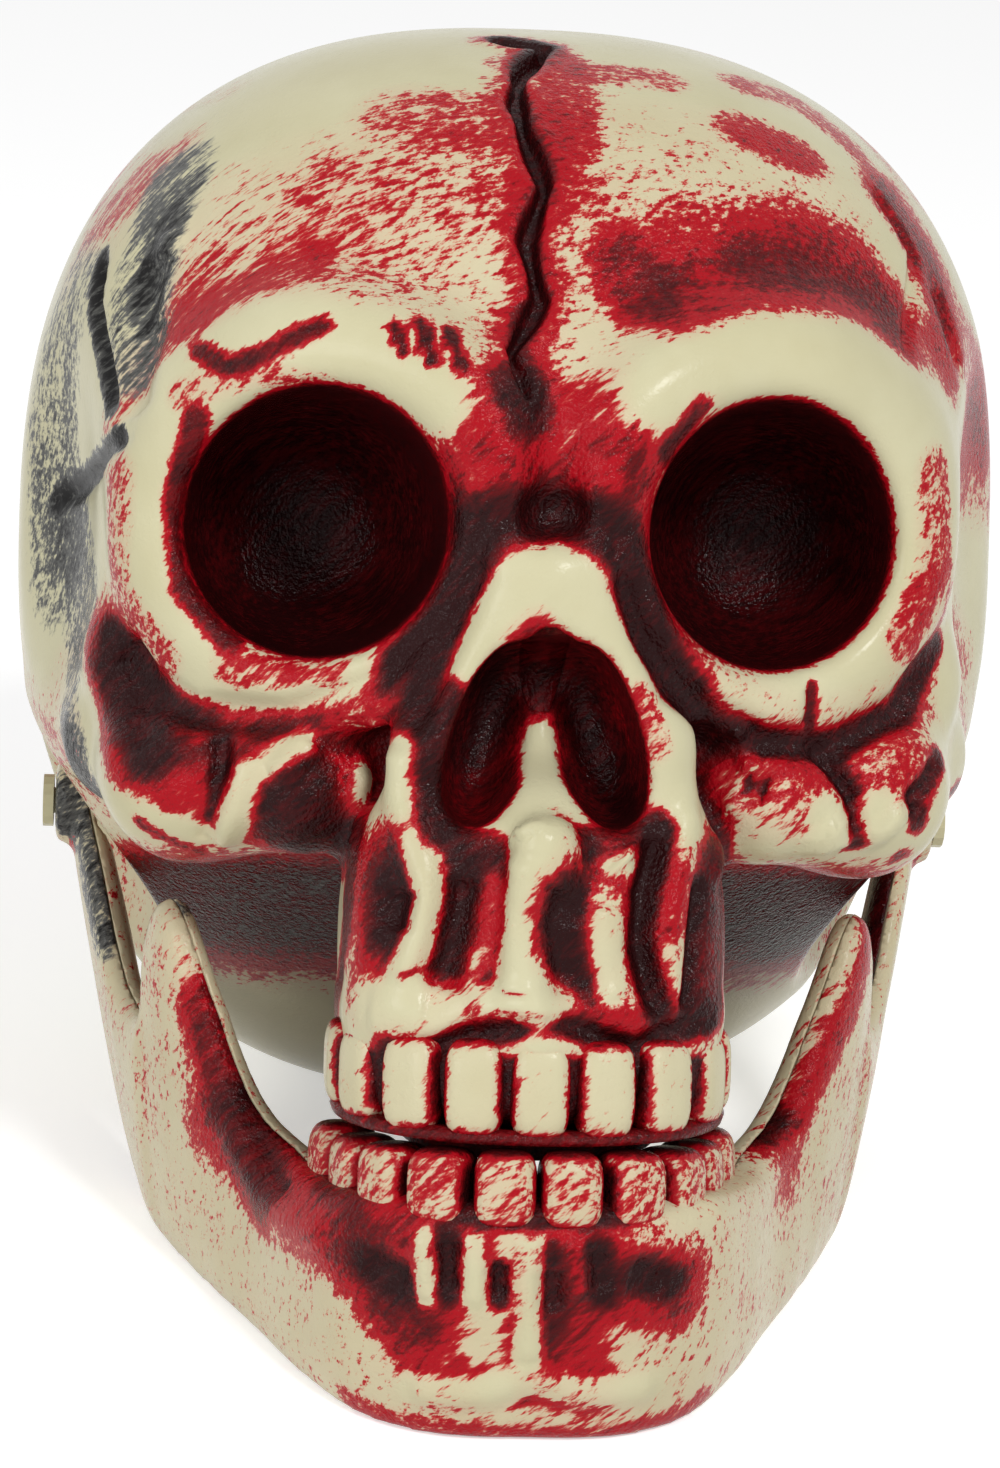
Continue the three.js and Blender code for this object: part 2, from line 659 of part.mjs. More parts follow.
const lowerArchShare = 0.87;
function lowerToothRow() {
  const onBed = (share) => {
    const point = jawTop.getPoint(lerp(1 / 2, 1, share * 0.42));
    return point.setX(point.x * lowerArchShare);
  };
  return alongArch(onBed, lowerTeeth, lowerToothPitch).map(({ point, heading }) => {
    const low = jawBedZ - lowerToothThickness * 0.39;
    const rise = point.z - jawTop.getPoint(1 / 2).z;
    const high = lowerToothTopZ + rise;
    const size = vec((lowerToothPitch - toothGap) / 2, lowerToothThickness / 2, (high - low) / 2);
    return bluntBall(vec(point.x, point.y, (high + low) / 2), size, toothBluntness, 8, 5, 0, heading);
  });
}

const hingeAt = (x) => vec(x, hingeY, hingeZ);
const jawBossInner = jawHingeHalfWidth - bossHalfWidth;
const skullBossOuter = jawBossInner - jawSideGap;
const skullBossInner = skullBossOuter - bossDiameter * 0.8;

// The pocket in the side of the head that the jaw's hinge end stands and swings in
const condyleRoom = bossDiameter / 2 + wall;
function hingePocket(grow, around, high) {
  const size = hingePocketRadii.clone().addScalar(grow);
  const egg = bluntBall(hingePocketPlace, size, 2, around, high);
  return egg.add(rod(condyleRoom + grow, hingeAt(skullBossOuter - wall - grow), hingeAt(craniumWidth), around));
}

// Finishes
const boneFront = { name: "painted bone plastic", color: 0xd9cfae };
const boneBack = { name: "bone plastic, back", color: 0xcabf98 };
const pinPlastic = { name: "pin plastic", color: 0x6b2a24 };

// Skull: one hollow skin, parted along a stepped line seen from the side

const above = (y, z, shift) => [y - shift * Math.SQRT1_2, z + shift * Math.SQRT1_2];
function aheadOfParting(shift) {
  return sidePrism([
    above(partingY, craniumCentreZ + crownRise + overrun, shift),
    above(partingY, partingCheekZ, shift),
    above(partingJawY, partingJawZ, shift),
    above(partingJawY, upperTeethBottomZ - overrun, shift),
    above(archFrontY - overrun, upperTeethBottomZ - overrun, shift),
    above(archFrontY - overrun, craniumCentreZ + crownRise + overrun, shift),
  ]);
}

// Everything below the table, less the little that is cut flat
function belowTable() {
  const slope = Math.tan(THREE.MathUtils.degToRad(stanceLean));
  const level = (y) => chinBottomZ + flatDepth + slope * (y - stanceY);
  const front = chinFrontY - overrun;
  const back = craniumLength;
  return sidePrism([
    [front, level(front)],
    [front, chinBottomZ - 2 * overrun],
    [back, chinBottomZ - 2 * overrun],
    [back, level(back)],
  ]);
}

const pinHole = rod(pinDiameter / 2 + pinClearance, hingeAt(0), hingeAt(craniumWidth));
const bothSides = (body) => body.add(mirrored(body));

// The skin and the hollow in it are met along the same rays, so that their facets never cross.
const keepShare = 1.1;
const skinAround = 36;
const skinHigh = 23;
const outerSkin = skullSkin(0, skinAround, skinHigh);
const orbits = bothSides(orbitBowl(0, 16, 5));
const nose = bothSides(noseHollow(0, 12, 7)).add(noseTopHollow(0, 10, 6));
const pockets = bothSides(hingePocket(0, 14, 9));
const keepSkin = join([
  bothSides(orbitBowl(wall * keepShare, 12, 4)),
  bothSides(noseHollow(wall * keepShare, 8, 5)),
  noseTopHollow(wall * keepShare, 8, 5),
  bothSides(hingePocket(wall * keepShare, 10, 7)),
]);
const cavity = skullSkin(wall * keepShare, skinAround, skinHigh).subtract(keepSkin);
const lipOutside = skullSkin(wall * keepShare + seam, skinAround, skinHigh).subtract(keepSkin);
const lipInside = skullSkin(wall * keepShare + seam + lipThickness, skinAround, skinHigh);

const skullBody = join([outerSkin, ...upperToothRow()])
  .subtract(orbits)
  .subtract(pockets)
  .subtract(nose)
  .subtract(crack())
  .subtract(belowTable());
const skullSkinOnly = skullBody.subtract(cavity);
const faceShellBody = skullSkinOnly.intersect(aheadOfParting(seam / 2));

// The lip round the rear shell's edge that the face shell seats over, from the crown to the cheeks
const behindFace = sidePrism([
  [partingJawY + 3 * lipLength, partingJawZ - overrun],
  [craniumLength, partingJawZ - overrun],
  [craniumLength, craniumCentreZ + crownRise + overrun],
  [partingJawY + 3 * lipLength, craniumCentreZ + crownRise + overrun],
]);
const lip = lipOutside
  .subtract(lipInside)
  .intersect(aheadOfParting(-seam).subtract(aheadOfParting(lipLength)))
  .intersect(behindFace);
const lipRoot = skullSkin(wall / 2, skinAround, skinHigh)
  .subtract(pockets)
  .subtract(lipInside)
  .intersect(aheadOfParting(-lipLength).subtract(aheadOfParting(-seam / 2)))
  .intersect(behindFace);
const skullBoss = rod(bossDiameter / 2, hingeAt(skullBossInner), hingeAt(skullBossOuter));
const rearShellBody = join([
  skullSkinOnly.subtract(aheadOfParting(-seam / 2)),
  lipRoot,
  lip,
  bothSides(skullBoss),
]).subtract(bothSides(pinHole));

// Lower jaw: one hollow blade bent round to both hinges, parted down its middle

const jawBoss = rod(bossDiameter / 2, hingeAt(jawBossInner), hingeAt(jawHingeHalfWidth + bossHalfWidth));
const jawFaceCut = rod(bossDiameter / 2 + jawSideGap, hingeAt(skullBossInner), hingeAt(jawBossInner));
const jawStations = 32;
const jawAround = 8;
const endStations = 4;
const hollowFrom = endStations / jawStations;
const jawBody = join([jawLoft(0, 0, 1, jawStations, jawAround), ...lowerToothRow()])
  .subtract(bothSides(jawFaceCut))
  .add(bothSides(jawBoss))
  .subtract(jawLoft(jawWall, hollowFrom, 1 - hollowFrom, jawStations - 2 * endStations, jawAround))
  .subtract(bothSides(pinHole))
  .subtract(belowTable());
const jawOuterBody = jawBody.subtract(jawCore(seam / 2));
const jawInnerBody = jawBody.intersect(jawCore(-seam / 2));

// Hinge pins, pushed in from outside and held by a cap inside the head

function hingePin() {
  const headInner = jawHingeHalfWidth + bossHalfWidth + seam;
  const shaft = rod(pinDiameter / 2, hingeAt(skullBossInner - pinReach), hingeAt(headInner + pinHeadHeight / 2));
  return shaft.add(rod(pinHeadDiameter / 2, hingeAt(headInner), hingeAt(headInner + pinHeadHeight)));
}

function pinCap() {
  const face = skullBossInner - seam;
  return rod(capDiameter / 2, hingeAt(face - capHeight), hingeAt(face)).subtract(pinHole);
}

const upright = new THREE.Group();
upright.add(named("face_shell", faceShellBody, boneFront));
upright.add(named("rear_shell", rearShellBody, boneBack));
upright.add(named("jaw_outer_shell", jawOuterBody, boneFront));
upright.add(named("jaw_inner_shell", jawInnerBody, boneBack));
upright.add(named("hinge_pin_right", hingePin(), pinPlastic));
upright.add(named("hinge_pin_left", mirrored(hingePin()), pinPlastic));
upright.add(named("pin_cap_right", pinCap(), pinPlastic));
upright.add(named("pin_cap_left", mirrored(pinCap()), pinPlastic));

// The drawing leans back onto the table, and the part's origin goes to the middle of its footprint.
upright.rotation.x = -THREE.MathUtils.degToRad(stanceLean);
const skullDecoration = new THREE.Group();
skullDecoration.add(upright);
skullDecoration.updateMatrixWorld(true);
const bounds = new THREE.Box3().setFromObject(skullDecoration, true);
upright.position.set(
  -(bounds.min.x + bounds.max.x) / 2,
  -(bounds.min.y + bounds.max.y) / 2,
  -bounds.min.z,
);

export default skullDecoration;
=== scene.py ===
# %% [markdown]
# A life-size skull decoration, made of glossy plastic and wiped with red paint.
#
# The real thing is blown from cream plastic in a mould: a hollow head in a front and a back half, and
# a hollow lower jaw with its own teeth that hangs on two push pins. This lesson dresses the packed
# frame with finely shaped skins: first the form of the head as one soft blend, then the jaw, the
# teeth and the pins, then the paint, and last the floor, the lamps and the camera.

# %% The frame
import json
import math

import bmesh
import bpy
import numpy as np
from mathutils import Matrix, Vector


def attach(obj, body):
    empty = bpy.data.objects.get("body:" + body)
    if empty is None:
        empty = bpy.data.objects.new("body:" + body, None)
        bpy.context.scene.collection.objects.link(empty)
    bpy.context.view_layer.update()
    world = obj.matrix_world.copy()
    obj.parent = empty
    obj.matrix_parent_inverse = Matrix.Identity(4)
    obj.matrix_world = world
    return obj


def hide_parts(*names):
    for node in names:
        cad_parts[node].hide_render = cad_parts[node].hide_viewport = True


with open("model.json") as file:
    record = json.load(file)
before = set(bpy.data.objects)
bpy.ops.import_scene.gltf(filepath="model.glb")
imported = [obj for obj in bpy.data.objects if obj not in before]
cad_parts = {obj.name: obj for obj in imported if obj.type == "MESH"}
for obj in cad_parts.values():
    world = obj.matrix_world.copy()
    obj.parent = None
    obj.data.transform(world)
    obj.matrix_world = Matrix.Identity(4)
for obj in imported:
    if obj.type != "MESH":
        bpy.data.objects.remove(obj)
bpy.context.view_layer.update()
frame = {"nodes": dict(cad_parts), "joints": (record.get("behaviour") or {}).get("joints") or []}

print("nodes:", ", ".join(sorted(frame["nodes"])))

# %% [markdown]
# A skull is easiest to describe upright and in millimetres, with x to the viewer's right, -y out of
# the face and z up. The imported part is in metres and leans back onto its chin, its jaw angles and the
# back of its head. So every shape here is drawn upright first, and one matrix leans it back. The
# hinge of the jaw is known in both, which fixes the place.

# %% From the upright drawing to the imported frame
MM = 0.001
LEAN = math.radians(18.3)
HINGE_Y, HINGE_Z = 4.0, -12.0
hinge_joint = frame["joints"][0]
hinge_place = Vector(hinge_joint["pos_m"])
lean_turn = Matrix.Rotation(-LEAN, 4, "X")
upright_hinge = Vector((0.0, HINGE_Y, HINGE_Z)) * MM
drawing_to_frame = (
    Matrix.Translation(hinge_place - lean_turn @ upright_hinge) @ lean_turn @ Matrix.Scale(MM, 4)
)
print("drawing's origin in the frame:", [round(v, 4) for v in drawing_to_frame.translation])

# %% [markdown]
# The head has no flat and no hard edge anywhere: every bone flows into the next. A subdivision cage
# could give that, but each bone would then be a matter of pulling points. Here each bone is a plain
# rule that gives a place's distance from it, below zero inside, and a soft minimum of two such
# distances rounds the corner where they meet. A skin whose points are moved until that distance is
# zero takes on the whole form at once, with every fillet in it.

# %% Soft joins between distances
def share_between(values, low, high):
    """0 at low and before, 1 at high and beyond, eased at both ends. High may be the smaller one."""
    t = np.clip((values - low) / (high - low), 0.0, 1.0)
    return t * t * (3.0 - 2.0 * t)


def eased(x):
    return share_between(x, 0.0, 1.0)


def blend(a, b, width):
    """The nearer of two distances, with a fillet where they meet."""
    near = np.maximum(width - np.abs(a - b), 0.0) / width
    return np.minimum(a, b) - near * near * width / 4.0


def hollow_out(a, b, width):
    return -blend(-a, b, width)


def egg(p, centre, radii):
    q = (p - np.array(centre)) / np.array(radii)
    k = np.linalg.norm(q, axis=-1)
    slope = np.linalg.norm(q / np.array(radii), axis=-1)
    return k * (k - 1.0) / np.maximum(slope, 1e-9)


def tapered_rod(p, start, end, start_radius, end_radius):
    start, along = np.array(start), np.array(end) - np.array(start)
    offset = p - start
    t = np.clip(offset @ along / (along @ along), 0.0, 1.0)
    away = np.linalg.norm(offset - t[..., None] * along, axis=-1)
    return away - (start_radius + (end_radius - start_radius) * t)


def rod_chain(p, stations):
    """A tapered rod from each station to the next. A station is a place and a radius."""
    return [tapered_rod(p, a, b, ra, rb) for (a, ra), (b, rb) in zip(stations, stations[1:])]


def blunt_egg(p, centre, half, bluntness):
    q = p - np.array(centre)
    k = (np.abs(q / half) ** bluntness).sum(-1) ** (1.0 / bluntness)
    return np.linalg.norm(q, axis=-1) * (1.0 - 1.0 / np.maximum(k, 1e-9))


# %% [markdown]
# The bones are read off the photograph as places and radii: the brain case is a blunt egg, the rim of
# a socket is a ring, and the cheekbone, the brow and the nose are chains of tapered rods. One side is
# enough, because the head is alike on both. A wide fillet joins bones that melt into each other, and
# a tight one keeps the rim of a socket crisp.

# %% The bones of the head
CRANIUM_HALF = np.array([75.0, 88.0, 78.0])
CRANIUM_CENTRE = np.array([0.0, 10.0, 30.0])
OCCIPUT_DROP, FACE_DROP, VAULT_BLUNTNESS = 93.0, 50.0, 2.5
DROP_BEGINS, DROP_ENDS = -0.8, 0.5
TEMPLE_CENTRE, TEMPLE_HALF = (79.5, -36.96, 28.08), (15.0, 20.25, 31.5)
FOREHEAD_CENTRE, FOREHEAD_HALF = (0.0, -62.0, 42.0), (20.0, 14.5, 17.0)
BROW = [((0.0, -70.5, 41.5), 6.8), ((31.8, -67.6, 50.0), 6.4)]
ORBIT_X, ORBIT_Z, ORBIT_RIM_Y, ORBIT_FLOOR_Y = 31.8, 28.4, -68.0, -38.0
ORBIT_HALF_WIDTH, ORBIT_HALF_TALL, RIM_RADIUS = 17.75, 18.25, 6.2
RIM_SWEEP, RIM_TILT = 0.46, 0.12
CHEEK = [
    ((32.3, -60.5, -8.0), 9.5), ((47.4, -51.0, -6.0), 12.0),
    ((56.3, -33.4, -1.7), 8.6), ((63.0, 0.0, 4.8), 6.8),
]
CHEEK_BODY = [((33.0, -59.0, 1.0), 8.0), ((54.0, -44.0, 8.0), 9.0)]
NOSE = [
    ((0.0, -78.5, 21.0), 7.4), ((14.5, -76.0, -1.0), 5.8),
    ((17.0, -74.5, -14.0), 5.6), ((19.0, -72.5, -38.0), 5.0),
]
NOSE_SPINE = [((0.0, -86.0, -15.0), 4.2), ((0.0, -84.0, -39.4), 3.2)]
COLUMN_CENTRE, COLUMN_HALF, COLUMN_BLUNTNESS = (0.0, -63.5, -28.0), np.array([27.0, 22.0, 25.0]), 2.6
GUM_CENTRE, GUM_HALF = np.array([0.0, -63.5, -44.0]), np.array([26.0, 22.0, 9.8])
ARCH_BLUNTNESS, WALL_BLUNTNESS = 2.3, 5.0
UPPER_PITCH, ROOT_RING, ROOT_RELIEF = 8.7, 54.0, 0.8
ROOT_TOP, ROOT_BOTTOM = -7.5, -39.4
SOFT, CLOSE, TIGHT, NOSE_FILLET = 12.0, 6.0, 2.6, 4.0
RIM_MELT, RIM_MELT_FROM, RIM_MELT_TO = 9.0, 24.0, 50.0


def vault(q):
    """The brain case, which reaches lower at the back than over the face."""
    half_width, half_length, rise = CRANIUM_HALF
    middle = CRANIUM_CENTRE[1]
    back = share_between(q[..., 1], middle + DROP_BEGINS * half_length, middle + DROP_ENDS * half_length)
    drop = FACE_DROP + (OCCIPUT_DROP - FACE_DROP) * back
    fall = np.where(q[..., 2] > CRANIUM_CENTRE[2], rise, drop)
    half = np.stack([np.full_like(fall, half_width), np.full_like(fall, half_length), fall], -1)
    return blunt_egg(q, CRANIUM_CENTRE, half, VAULT_BLUNTNESS)


def rim_y(x, z):
    return ORBIT_RIM_Y + RIM_SWEEP * (x - ORBIT_X) - RIM_TILT * (z - ORBIT_Z)


def orbit_rim(q):
    wide, tall = ORBIT_HALF_WIDTH + RIM_RADIUS * 0.75, ORBIT_HALF_TALL + RIM_RADIUS * 0.75
    ring = np.hypot((q[..., 0] - ORBIT_X) / wide, (q[..., 2] - ORBIT_Z) / tall) - 1.0
    return np.hypot(ring * wide, q[..., 1] - rim_y(q[..., 0], q[..., 2])) - RIM_RADIUS


def cheekbone(q):
    (front, side, root), (body,) = rod_chain(q, CHEEK), rod_chain(q, CHEEK_BODY)
    return blend(blend(blend(front, side, CLOSE), body, CLOSE), root, CLOSE)


def gum_arch(q):
    """A round arch with an upright wall, which the upper teeth stand out from."""
    x, y, z = np.abs((q - GUM_CENTRE) / GUM_HALF).T
    around = (x ** ARCH_BLUNTNESS + y ** ARCH_BLUNTNESS) ** (1.0 / ARCH_BLUNTNESS)
    k = (around ** WALL_BLUNTNESS + z ** WALL_BLUNTNESS) ** (1.0 / WALL_BLUNTNESS)
    return np.linalg.norm(q - GUM_CENTRE, axis=-1) * (1.0 - 1.0 / np.maximum(k, 1e-9))


def upper_jaw(q):
    """A blunt column over the arch, with a low ripple where the roots of the teeth show through."""
    column = blunt_egg(q, COLUMN_CENTRE, COLUMN_HALF, COLUMN_BLUNTNESS)
    d = blend(column, gum_arch(q), CLOSE)
    turn = np.arctan2(q[..., 0], -(q[..., 1] - GUM_CENTRE[1]))
    low = share_between(-q[..., 2], -ROOT_TOP, -ROOT_BOTTOM)
    return d - ROOT_RELIEF * low * np.cos(turn * ROOT_RING / UPPER_PITCH)


def nose_bones(q):
    (bridge, wing, root), (spine,) = rod_chain(q, NOSE), rod_chain(q, NOSE_SPINE)
    return blend(blend(blend(bridge, wing, TIGHT), root, TIGHT), spine, TIGHT)


def one_side(p):
    q = p.copy()
    q[..., 0] = np.abs(q[..., 0])
    return q


def head_form(p):
    q = one_side(p)
    d = hollow_out(vault(q), egg(q, TEMPLE_CENTRE, TEMPLE_HALF), SOFT)
    d = blend(d, egg(q, FOREHEAD_CENTRE, FOREHEAD_HALF), SOFT)
    d = blend(d, rod_chain(q, BROW)[0], SOFT)
    d = blend(d, upper_jaw(q), SOFT)
    d = blend(d, cheekbone(q), CLOSE)
    d = blend(d, orbit_rim(q), TIGHT + RIM_MELT * share_between(q[..., 2], RIM_MELT_FROM, RIM_MELT_TO))
    return blend(d, nose_bones(q), NOSE_FILLET)


crown = CRANIUM_CENTRE + (0.0, 0.0, CRANIUM_HALF[2])
print("distance of the crown's top from the form:", round(float(head_form(crown[None])[0]), 3))

# %% [markdown]
# A sphere is the simplest closed mesh whose points can all be moved out along their own rays. Its
# rings are drawn closer together over the face, where the forms are small. Every point starts far
# outside, walks in until the form begins, and halves its last step until it sits on the surface.

# %% A sphere whose points meet the form
RAY_CENTRE = np.array([0.0, -44.0, 7.8])
FAR_OUT, STRIDE, HALVINGS = 240.0, 3.0, 12
CROWD_UP, CROWD_FRONT = 0.12, 0.5
HEAD_AROUND, HEAD_HIGH = 190, 130


def points_of(bm):
    return np.array([v.co[:] for v in bm.verts])


def place_points(bm, points):
    for vert, point in zip(bm.verts, points):
        vert.co = point


def face_outwards(bm):
    bmesh.ops.recalc_face_normals(bm, faces=bm.faces[:])
    if bm.calc_volume(signed=True) < 0.0:
        bmesh.ops.reverse_faces(bm, faces=bm.faces[:])


def form_skin(depth, around, high):
    bm = bmesh.new()
    bmesh.ops.create_uvsphere(bm, u_segments=around, v_segments=high, radius=1.0)
    unit = points_of(bm)
    fall = np.arccos(np.clip(unit[:, 2], -1.0, 1.0))
    turn = np.arctan2(unit[:, 0], -unit[:, 1])
    fall = fall - CROWD_UP * np.sin(2.0 * fall)
    turn = turn - CROWD_FRONT * np.sin(turn)
    ray = np.stack([np.sin(fall) * np.sin(turn), -np.sin(fall) * np.cos(turn), np.cos(fall)], -1)
    outside = np.full(len(ray), FAR_OUT)
    walking = np.ones(len(ray), bool)
    while walking.any():
        ahead = RAY_CENTRE + ray[walking] * (outside[walking, None] - STRIDE)
        still = head_form(ahead) + depth > 0.0
        index = np.flatnonzero(walking)
        outside[index[still]] -= STRIDE
        walking[index[~still]] = False
    inside = outside - STRIDE
    for _ in range(HALVINGS):
        middle = (inside + outside) / 2.0
        empty = head_form(RAY_CENTRE + ray * middle[:, None]) + depth > 0.0
        outside = np.where(empty, middle, outside)
        inside = np.where(empty, inside, middle)
    place_points(bm, RAY_CENTRE + ray * outside[:, None])
    face_outwards(bm)
    return bm


def as_object(name, bm):
    mesh = bpy.data.meshes.new(name)
    bm.to_mesh(mesh)
    bm.free()
    made = bpy.data.objects.new(name, mesh)
    bpy.context.scene.collection.objects.link(made)
    return made


head = as_object("head", form_skin(0.0, HEAD_AROUND, HEAD_HIGH))
print("head skin:", len(head.data.vertices), "points")

# %% [markdown]
# The eye sockets, the nose and the places for the jaw's ends are hollows with a round floor. Each is
# cut with a tool of its own shape and the Boolean modifier. A voxel remesh then gives the cut skin an
# even net of small squares all over, ready to be moved onto the finer form.

# %% Tools that cut the hollows
NOSE_CENTRE, NOSE_HALF, NOSE_BLUNTNESS, NOSE_LEAN = (7.0, -80.0, 0.0), (5.8, 15.0, 13.0), 2.2, 0.3
POCKET_CENTRE, POCKET_HALF = (84.0, 11.97, -31.98), (34.0, 34.0, 38.0)
BAY_RADIUS, BAY_INNER, BAY_LONG = 9.3, 58.0, 40.0
BOWL_AROUND, BOWL_STEPS, BOWL_DEEP, BOWL_WIDE = 48, 14, 2.6, 2.2
HEAD_NET, JAW_NET = 1.2, 0.9


def blunt_ball(centre, half, bluntness, around, high, lean=0.0, turn=0.0):
    bm = bmesh.new()
    bmesh.ops.create_uvsphere(bm, u_segments=around, v_segments=high, radius=1.0)
    unit = points_of(bm)
    k = (np.abs(unit) ** bluntness).sum(-1, keepdims=True) ** (1.0 / bluntness)
    place_points(bm, unit / k * np.array(half))
    bmesh.ops.rotate(bm, verts=bm.verts[:], matrix=Matrix.Rotation(lean, 3, "Y"))
    bmesh.ops.rotate(bm, verts=bm.verts[:], matrix=Matrix.Rotation(turn, 3, "Z"))
    bmesh.ops.translate(bm, verts=bm.verts[:], vec=Vector(centre))
    return bm


def orbit_bowl(grow, side):
    """A cup spun from half its section, then stretched to the socket's width, height and lean."""
    bm = bmesh.new()
    profile = [(0.0, 1.0)]
    for step in range(1, BOWL_STEPS + 1):
        deep = 1.0 - step / BOWL_STEPS
        profile.append(((1.0 - deep ** BOWL_DEEP) ** (1.0 / BOWL_WIDE), deep))
    profile += [(1.0, -1.0), (0.0, -1.0)]
    verts = [bm.verts.new((r, y, 0.0)) for r, y in profile]
    edges = [bm.edges.new(pair) for pair in zip(verts, verts[1:])]
    about = {"cent": (0, 0, 0), "axis": (0, 1, 0), "angle": math.tau}
    bmesh.ops.spin(bm, geom=verts + edges, steps=BOWL_AROUND, use_merge=True, **about)
    bmesh.ops.remove_doubles(bm, verts=bm.verts[:], dist=1e-4)
    for vert in bm.verts:
        across, deep, up = vert.co
        x = ORBIT_X + across * (ORBIT_HALF_WIDTH + grow)
        z = ORBIT_Z + up * (ORBIT_HALF_TALL + grow)
        rim = rim_y(x, z)
        vert.co = (x * side, rim + (ORBIT_FLOOR_Y + grow - rim) * deep, z)
    face_outwards(bm)
    return bm


def nose_hollow(grow, side):
    (x, y, z), half = NOSE_CENTRE, [size + grow for size in NOSE_HALF]
    return blunt_ball((x * side, y, z), half, NOSE_BLUNTNESS, 32, 20, lean=-NOSE_LEAN * side)


def hinge_pocket(grow, side):
    (x, y, z), half = POCKET_CENTRE, [size + grow for size in POCKET_HALF]
    return blunt_ball((x * side, y, z), half, 2.0, 48, 32)


def round_bar(radius, start, end, rounded=0.0):
    """A bar round the hinge's line, from one place along it to another."""
    bm, long = bmesh.new(), abs(end - start)
    bmesh.ops.create_cone(bm, cap_ends=True, segments=48, radius1=radius, radius2=radius, depth=long)
    if rounded:
        rims = [edge for edge in bm.edges if abs(edge.verts[0].co.z - edge.verts[1].co.z) < 1e-6]
        bmesh.ops.bevel(bm, geom=rims, offset=rounded, segments=3, profile=0.5, affect="EDGES", material=-1)
    bmesh.ops.rotate(bm, verts=bm.verts[:], matrix=Matrix.Rotation(math.pi / 2, 3, "Y"))
    bmesh.ops.translate(bm, verts=bm.verts[:], vec=((start + end) / 2, HINGE_Y, HINGE_Z))
    face_outwards(bm)
    return bm


def hinge_bay(grow, side):
    inner = BAY_INNER - grow
    return round_bar(BAY_RADIUS + grow, inner * side, (inner + BAY_LONG) * side)


def cut(target, tool, operation="DIFFERENCE", solver="EXACT"):
    """Cuts the target with a tool, a bmesh or an object, and deletes the tool."""
    if isinstance(tool, bmesh.types.BMesh):
        tool = as_object("tool", tool)
    modifier = target.modifiers.new("cut", "BOOLEAN")
    modifier.operation, modifier.solver, modifier.object = operation, solver, tool
    apply_modifiers(target)
    bpy.data.objects.remove(tool)


def apply_modifiers(target):
    seen = bpy.context.evaluated_depsgraph_get()
    seen.update()
    mesh = bpy.data.meshes.new_from_object(target.evaluated_get(seen))
    target.modifiers.clear()
    old, target.data = target.data, mesh
    bpy.data.meshes.remove(old)
    mesh.name = target.name


def even_net(target, voxel):
    modifier = target.modifiers.new("net", "REMESH")
    modifier.mode, modifier.voxel_size = "VOXEL", voxel
    apply_modifiers(target)


both = (1.0, -1.0)
hollow_makers = (orbit_bowl, nose_hollow, hinge_pocket, hinge_bay)
for make in hollow_makers:
    for side in both:
        cut(head, make(0.0, side))
even_net(head, HEAD_NET)
print("head after the hollows:", len(head.data.vertices), "points")

# %% [markdown]
# The cut skin is only near the right shape, and its cut edges are sharp. On the real moulding they
# are rolled. So the hollows join the bones' rule as well, with a soft edge of their own, and every
# point slides down the slope of the distance until it lies on the surface.

# %% The fine form of the head
CUP_WIDE, CUP_DEEP, CUP_BOTH = 2.3, 2.6, 2.4
GAP_TOP_CENTRE, GAP_TOP_HALF = (0.0, -80.0, 7.5), (4.4, 14.0, 7.0)
CUP_EDGE, ROOM_EDGE, GAP_EDGE, GAP_FILLET, ROOM_FILLET = 4.0, 3.0, 2.2, 2.0, 1.5


def cup(q):
    rim = rim_y(q[..., 0], q[..., 2])
    deep = (q[..., 1] - rim) / (ORBIT_FLOOR_Y - rim)
    wide = np.hypot((q[..., 0] - ORBIT_X) / ORBIT_HALF_WIDTH, (q[..., 2] - ORBIT_Z) / ORBIT_HALF_TALL)
    k = (wide ** CUP_WIDE + np.maximum(deep, 0.0) ** CUP_DEEP) ** (1.0 / CUP_BOTH)
    return (k - 1.0) * ORBIT_HALF_WIDTH


def nose_gap(q):
    c, s = math.cos(NOSE_LEAN), math.sin(NOSE_LEAN)
    x, z = q[..., 0] - NOSE_CENTRE[0], q[..., 2]
    turned = np.stack([x * c + z * s + NOSE_CENTRE[0], q[..., 1], z * c - x * s], -1)
    side = blunt_egg(turned, NOSE_CENTRE, np.array(NOSE_HALF), NOSE_BLUNTNESS)
    return blend(side, egg(q, GAP_TOP_CENTRE, GAP_TOP_HALF), GAP_FILLET)


def hinge_room(q):
    around = np.hypot(q[..., 1] - HINGE_Y, q[..., 2] - HINGE_Z) - BAY_RADIUS
    return blend(egg(q, POCKET_CENTRE, POCKET_HALF), np.maximum(around, BAY_INNER - q[..., 0]), ROOM_FILLET)


def head_fine(p):
    q = one_side(p)
    d = hollow_out(head_form(p), cup(q), CUP_EDGE)
    d = hollow_out(d, hinge_room(q), ROOM_EDGE)
    return hollow_out(d, nose_gap(q), GAP_EDGE)


def slope_of(form, p, step=0.05):
    grad = np.zeros_like(p)
    for axis in range(3):
        shift = np.zeros(3)
        shift[axis] = step
        grad[:, axis] = (form(p + shift) - form(p - shift)) / (2.0 * step)
    return grad


def mesh_points(target):
    p = np.empty(len(target.data.vertices) * 3)
    target.data.vertices.foreach_get("co", p)
    return p.reshape(-1, 3)


def mesh_normals(target):
    normals = np.empty(len(target.data.vertices) * 3)
    target.data.vertex_normals.foreach_get("vector", normals)
    return normals.reshape(-1, 3)


def set_points(target, p):
    target.data.vertices.foreach_set("co", p.reshape(-1))
    target.data.update()


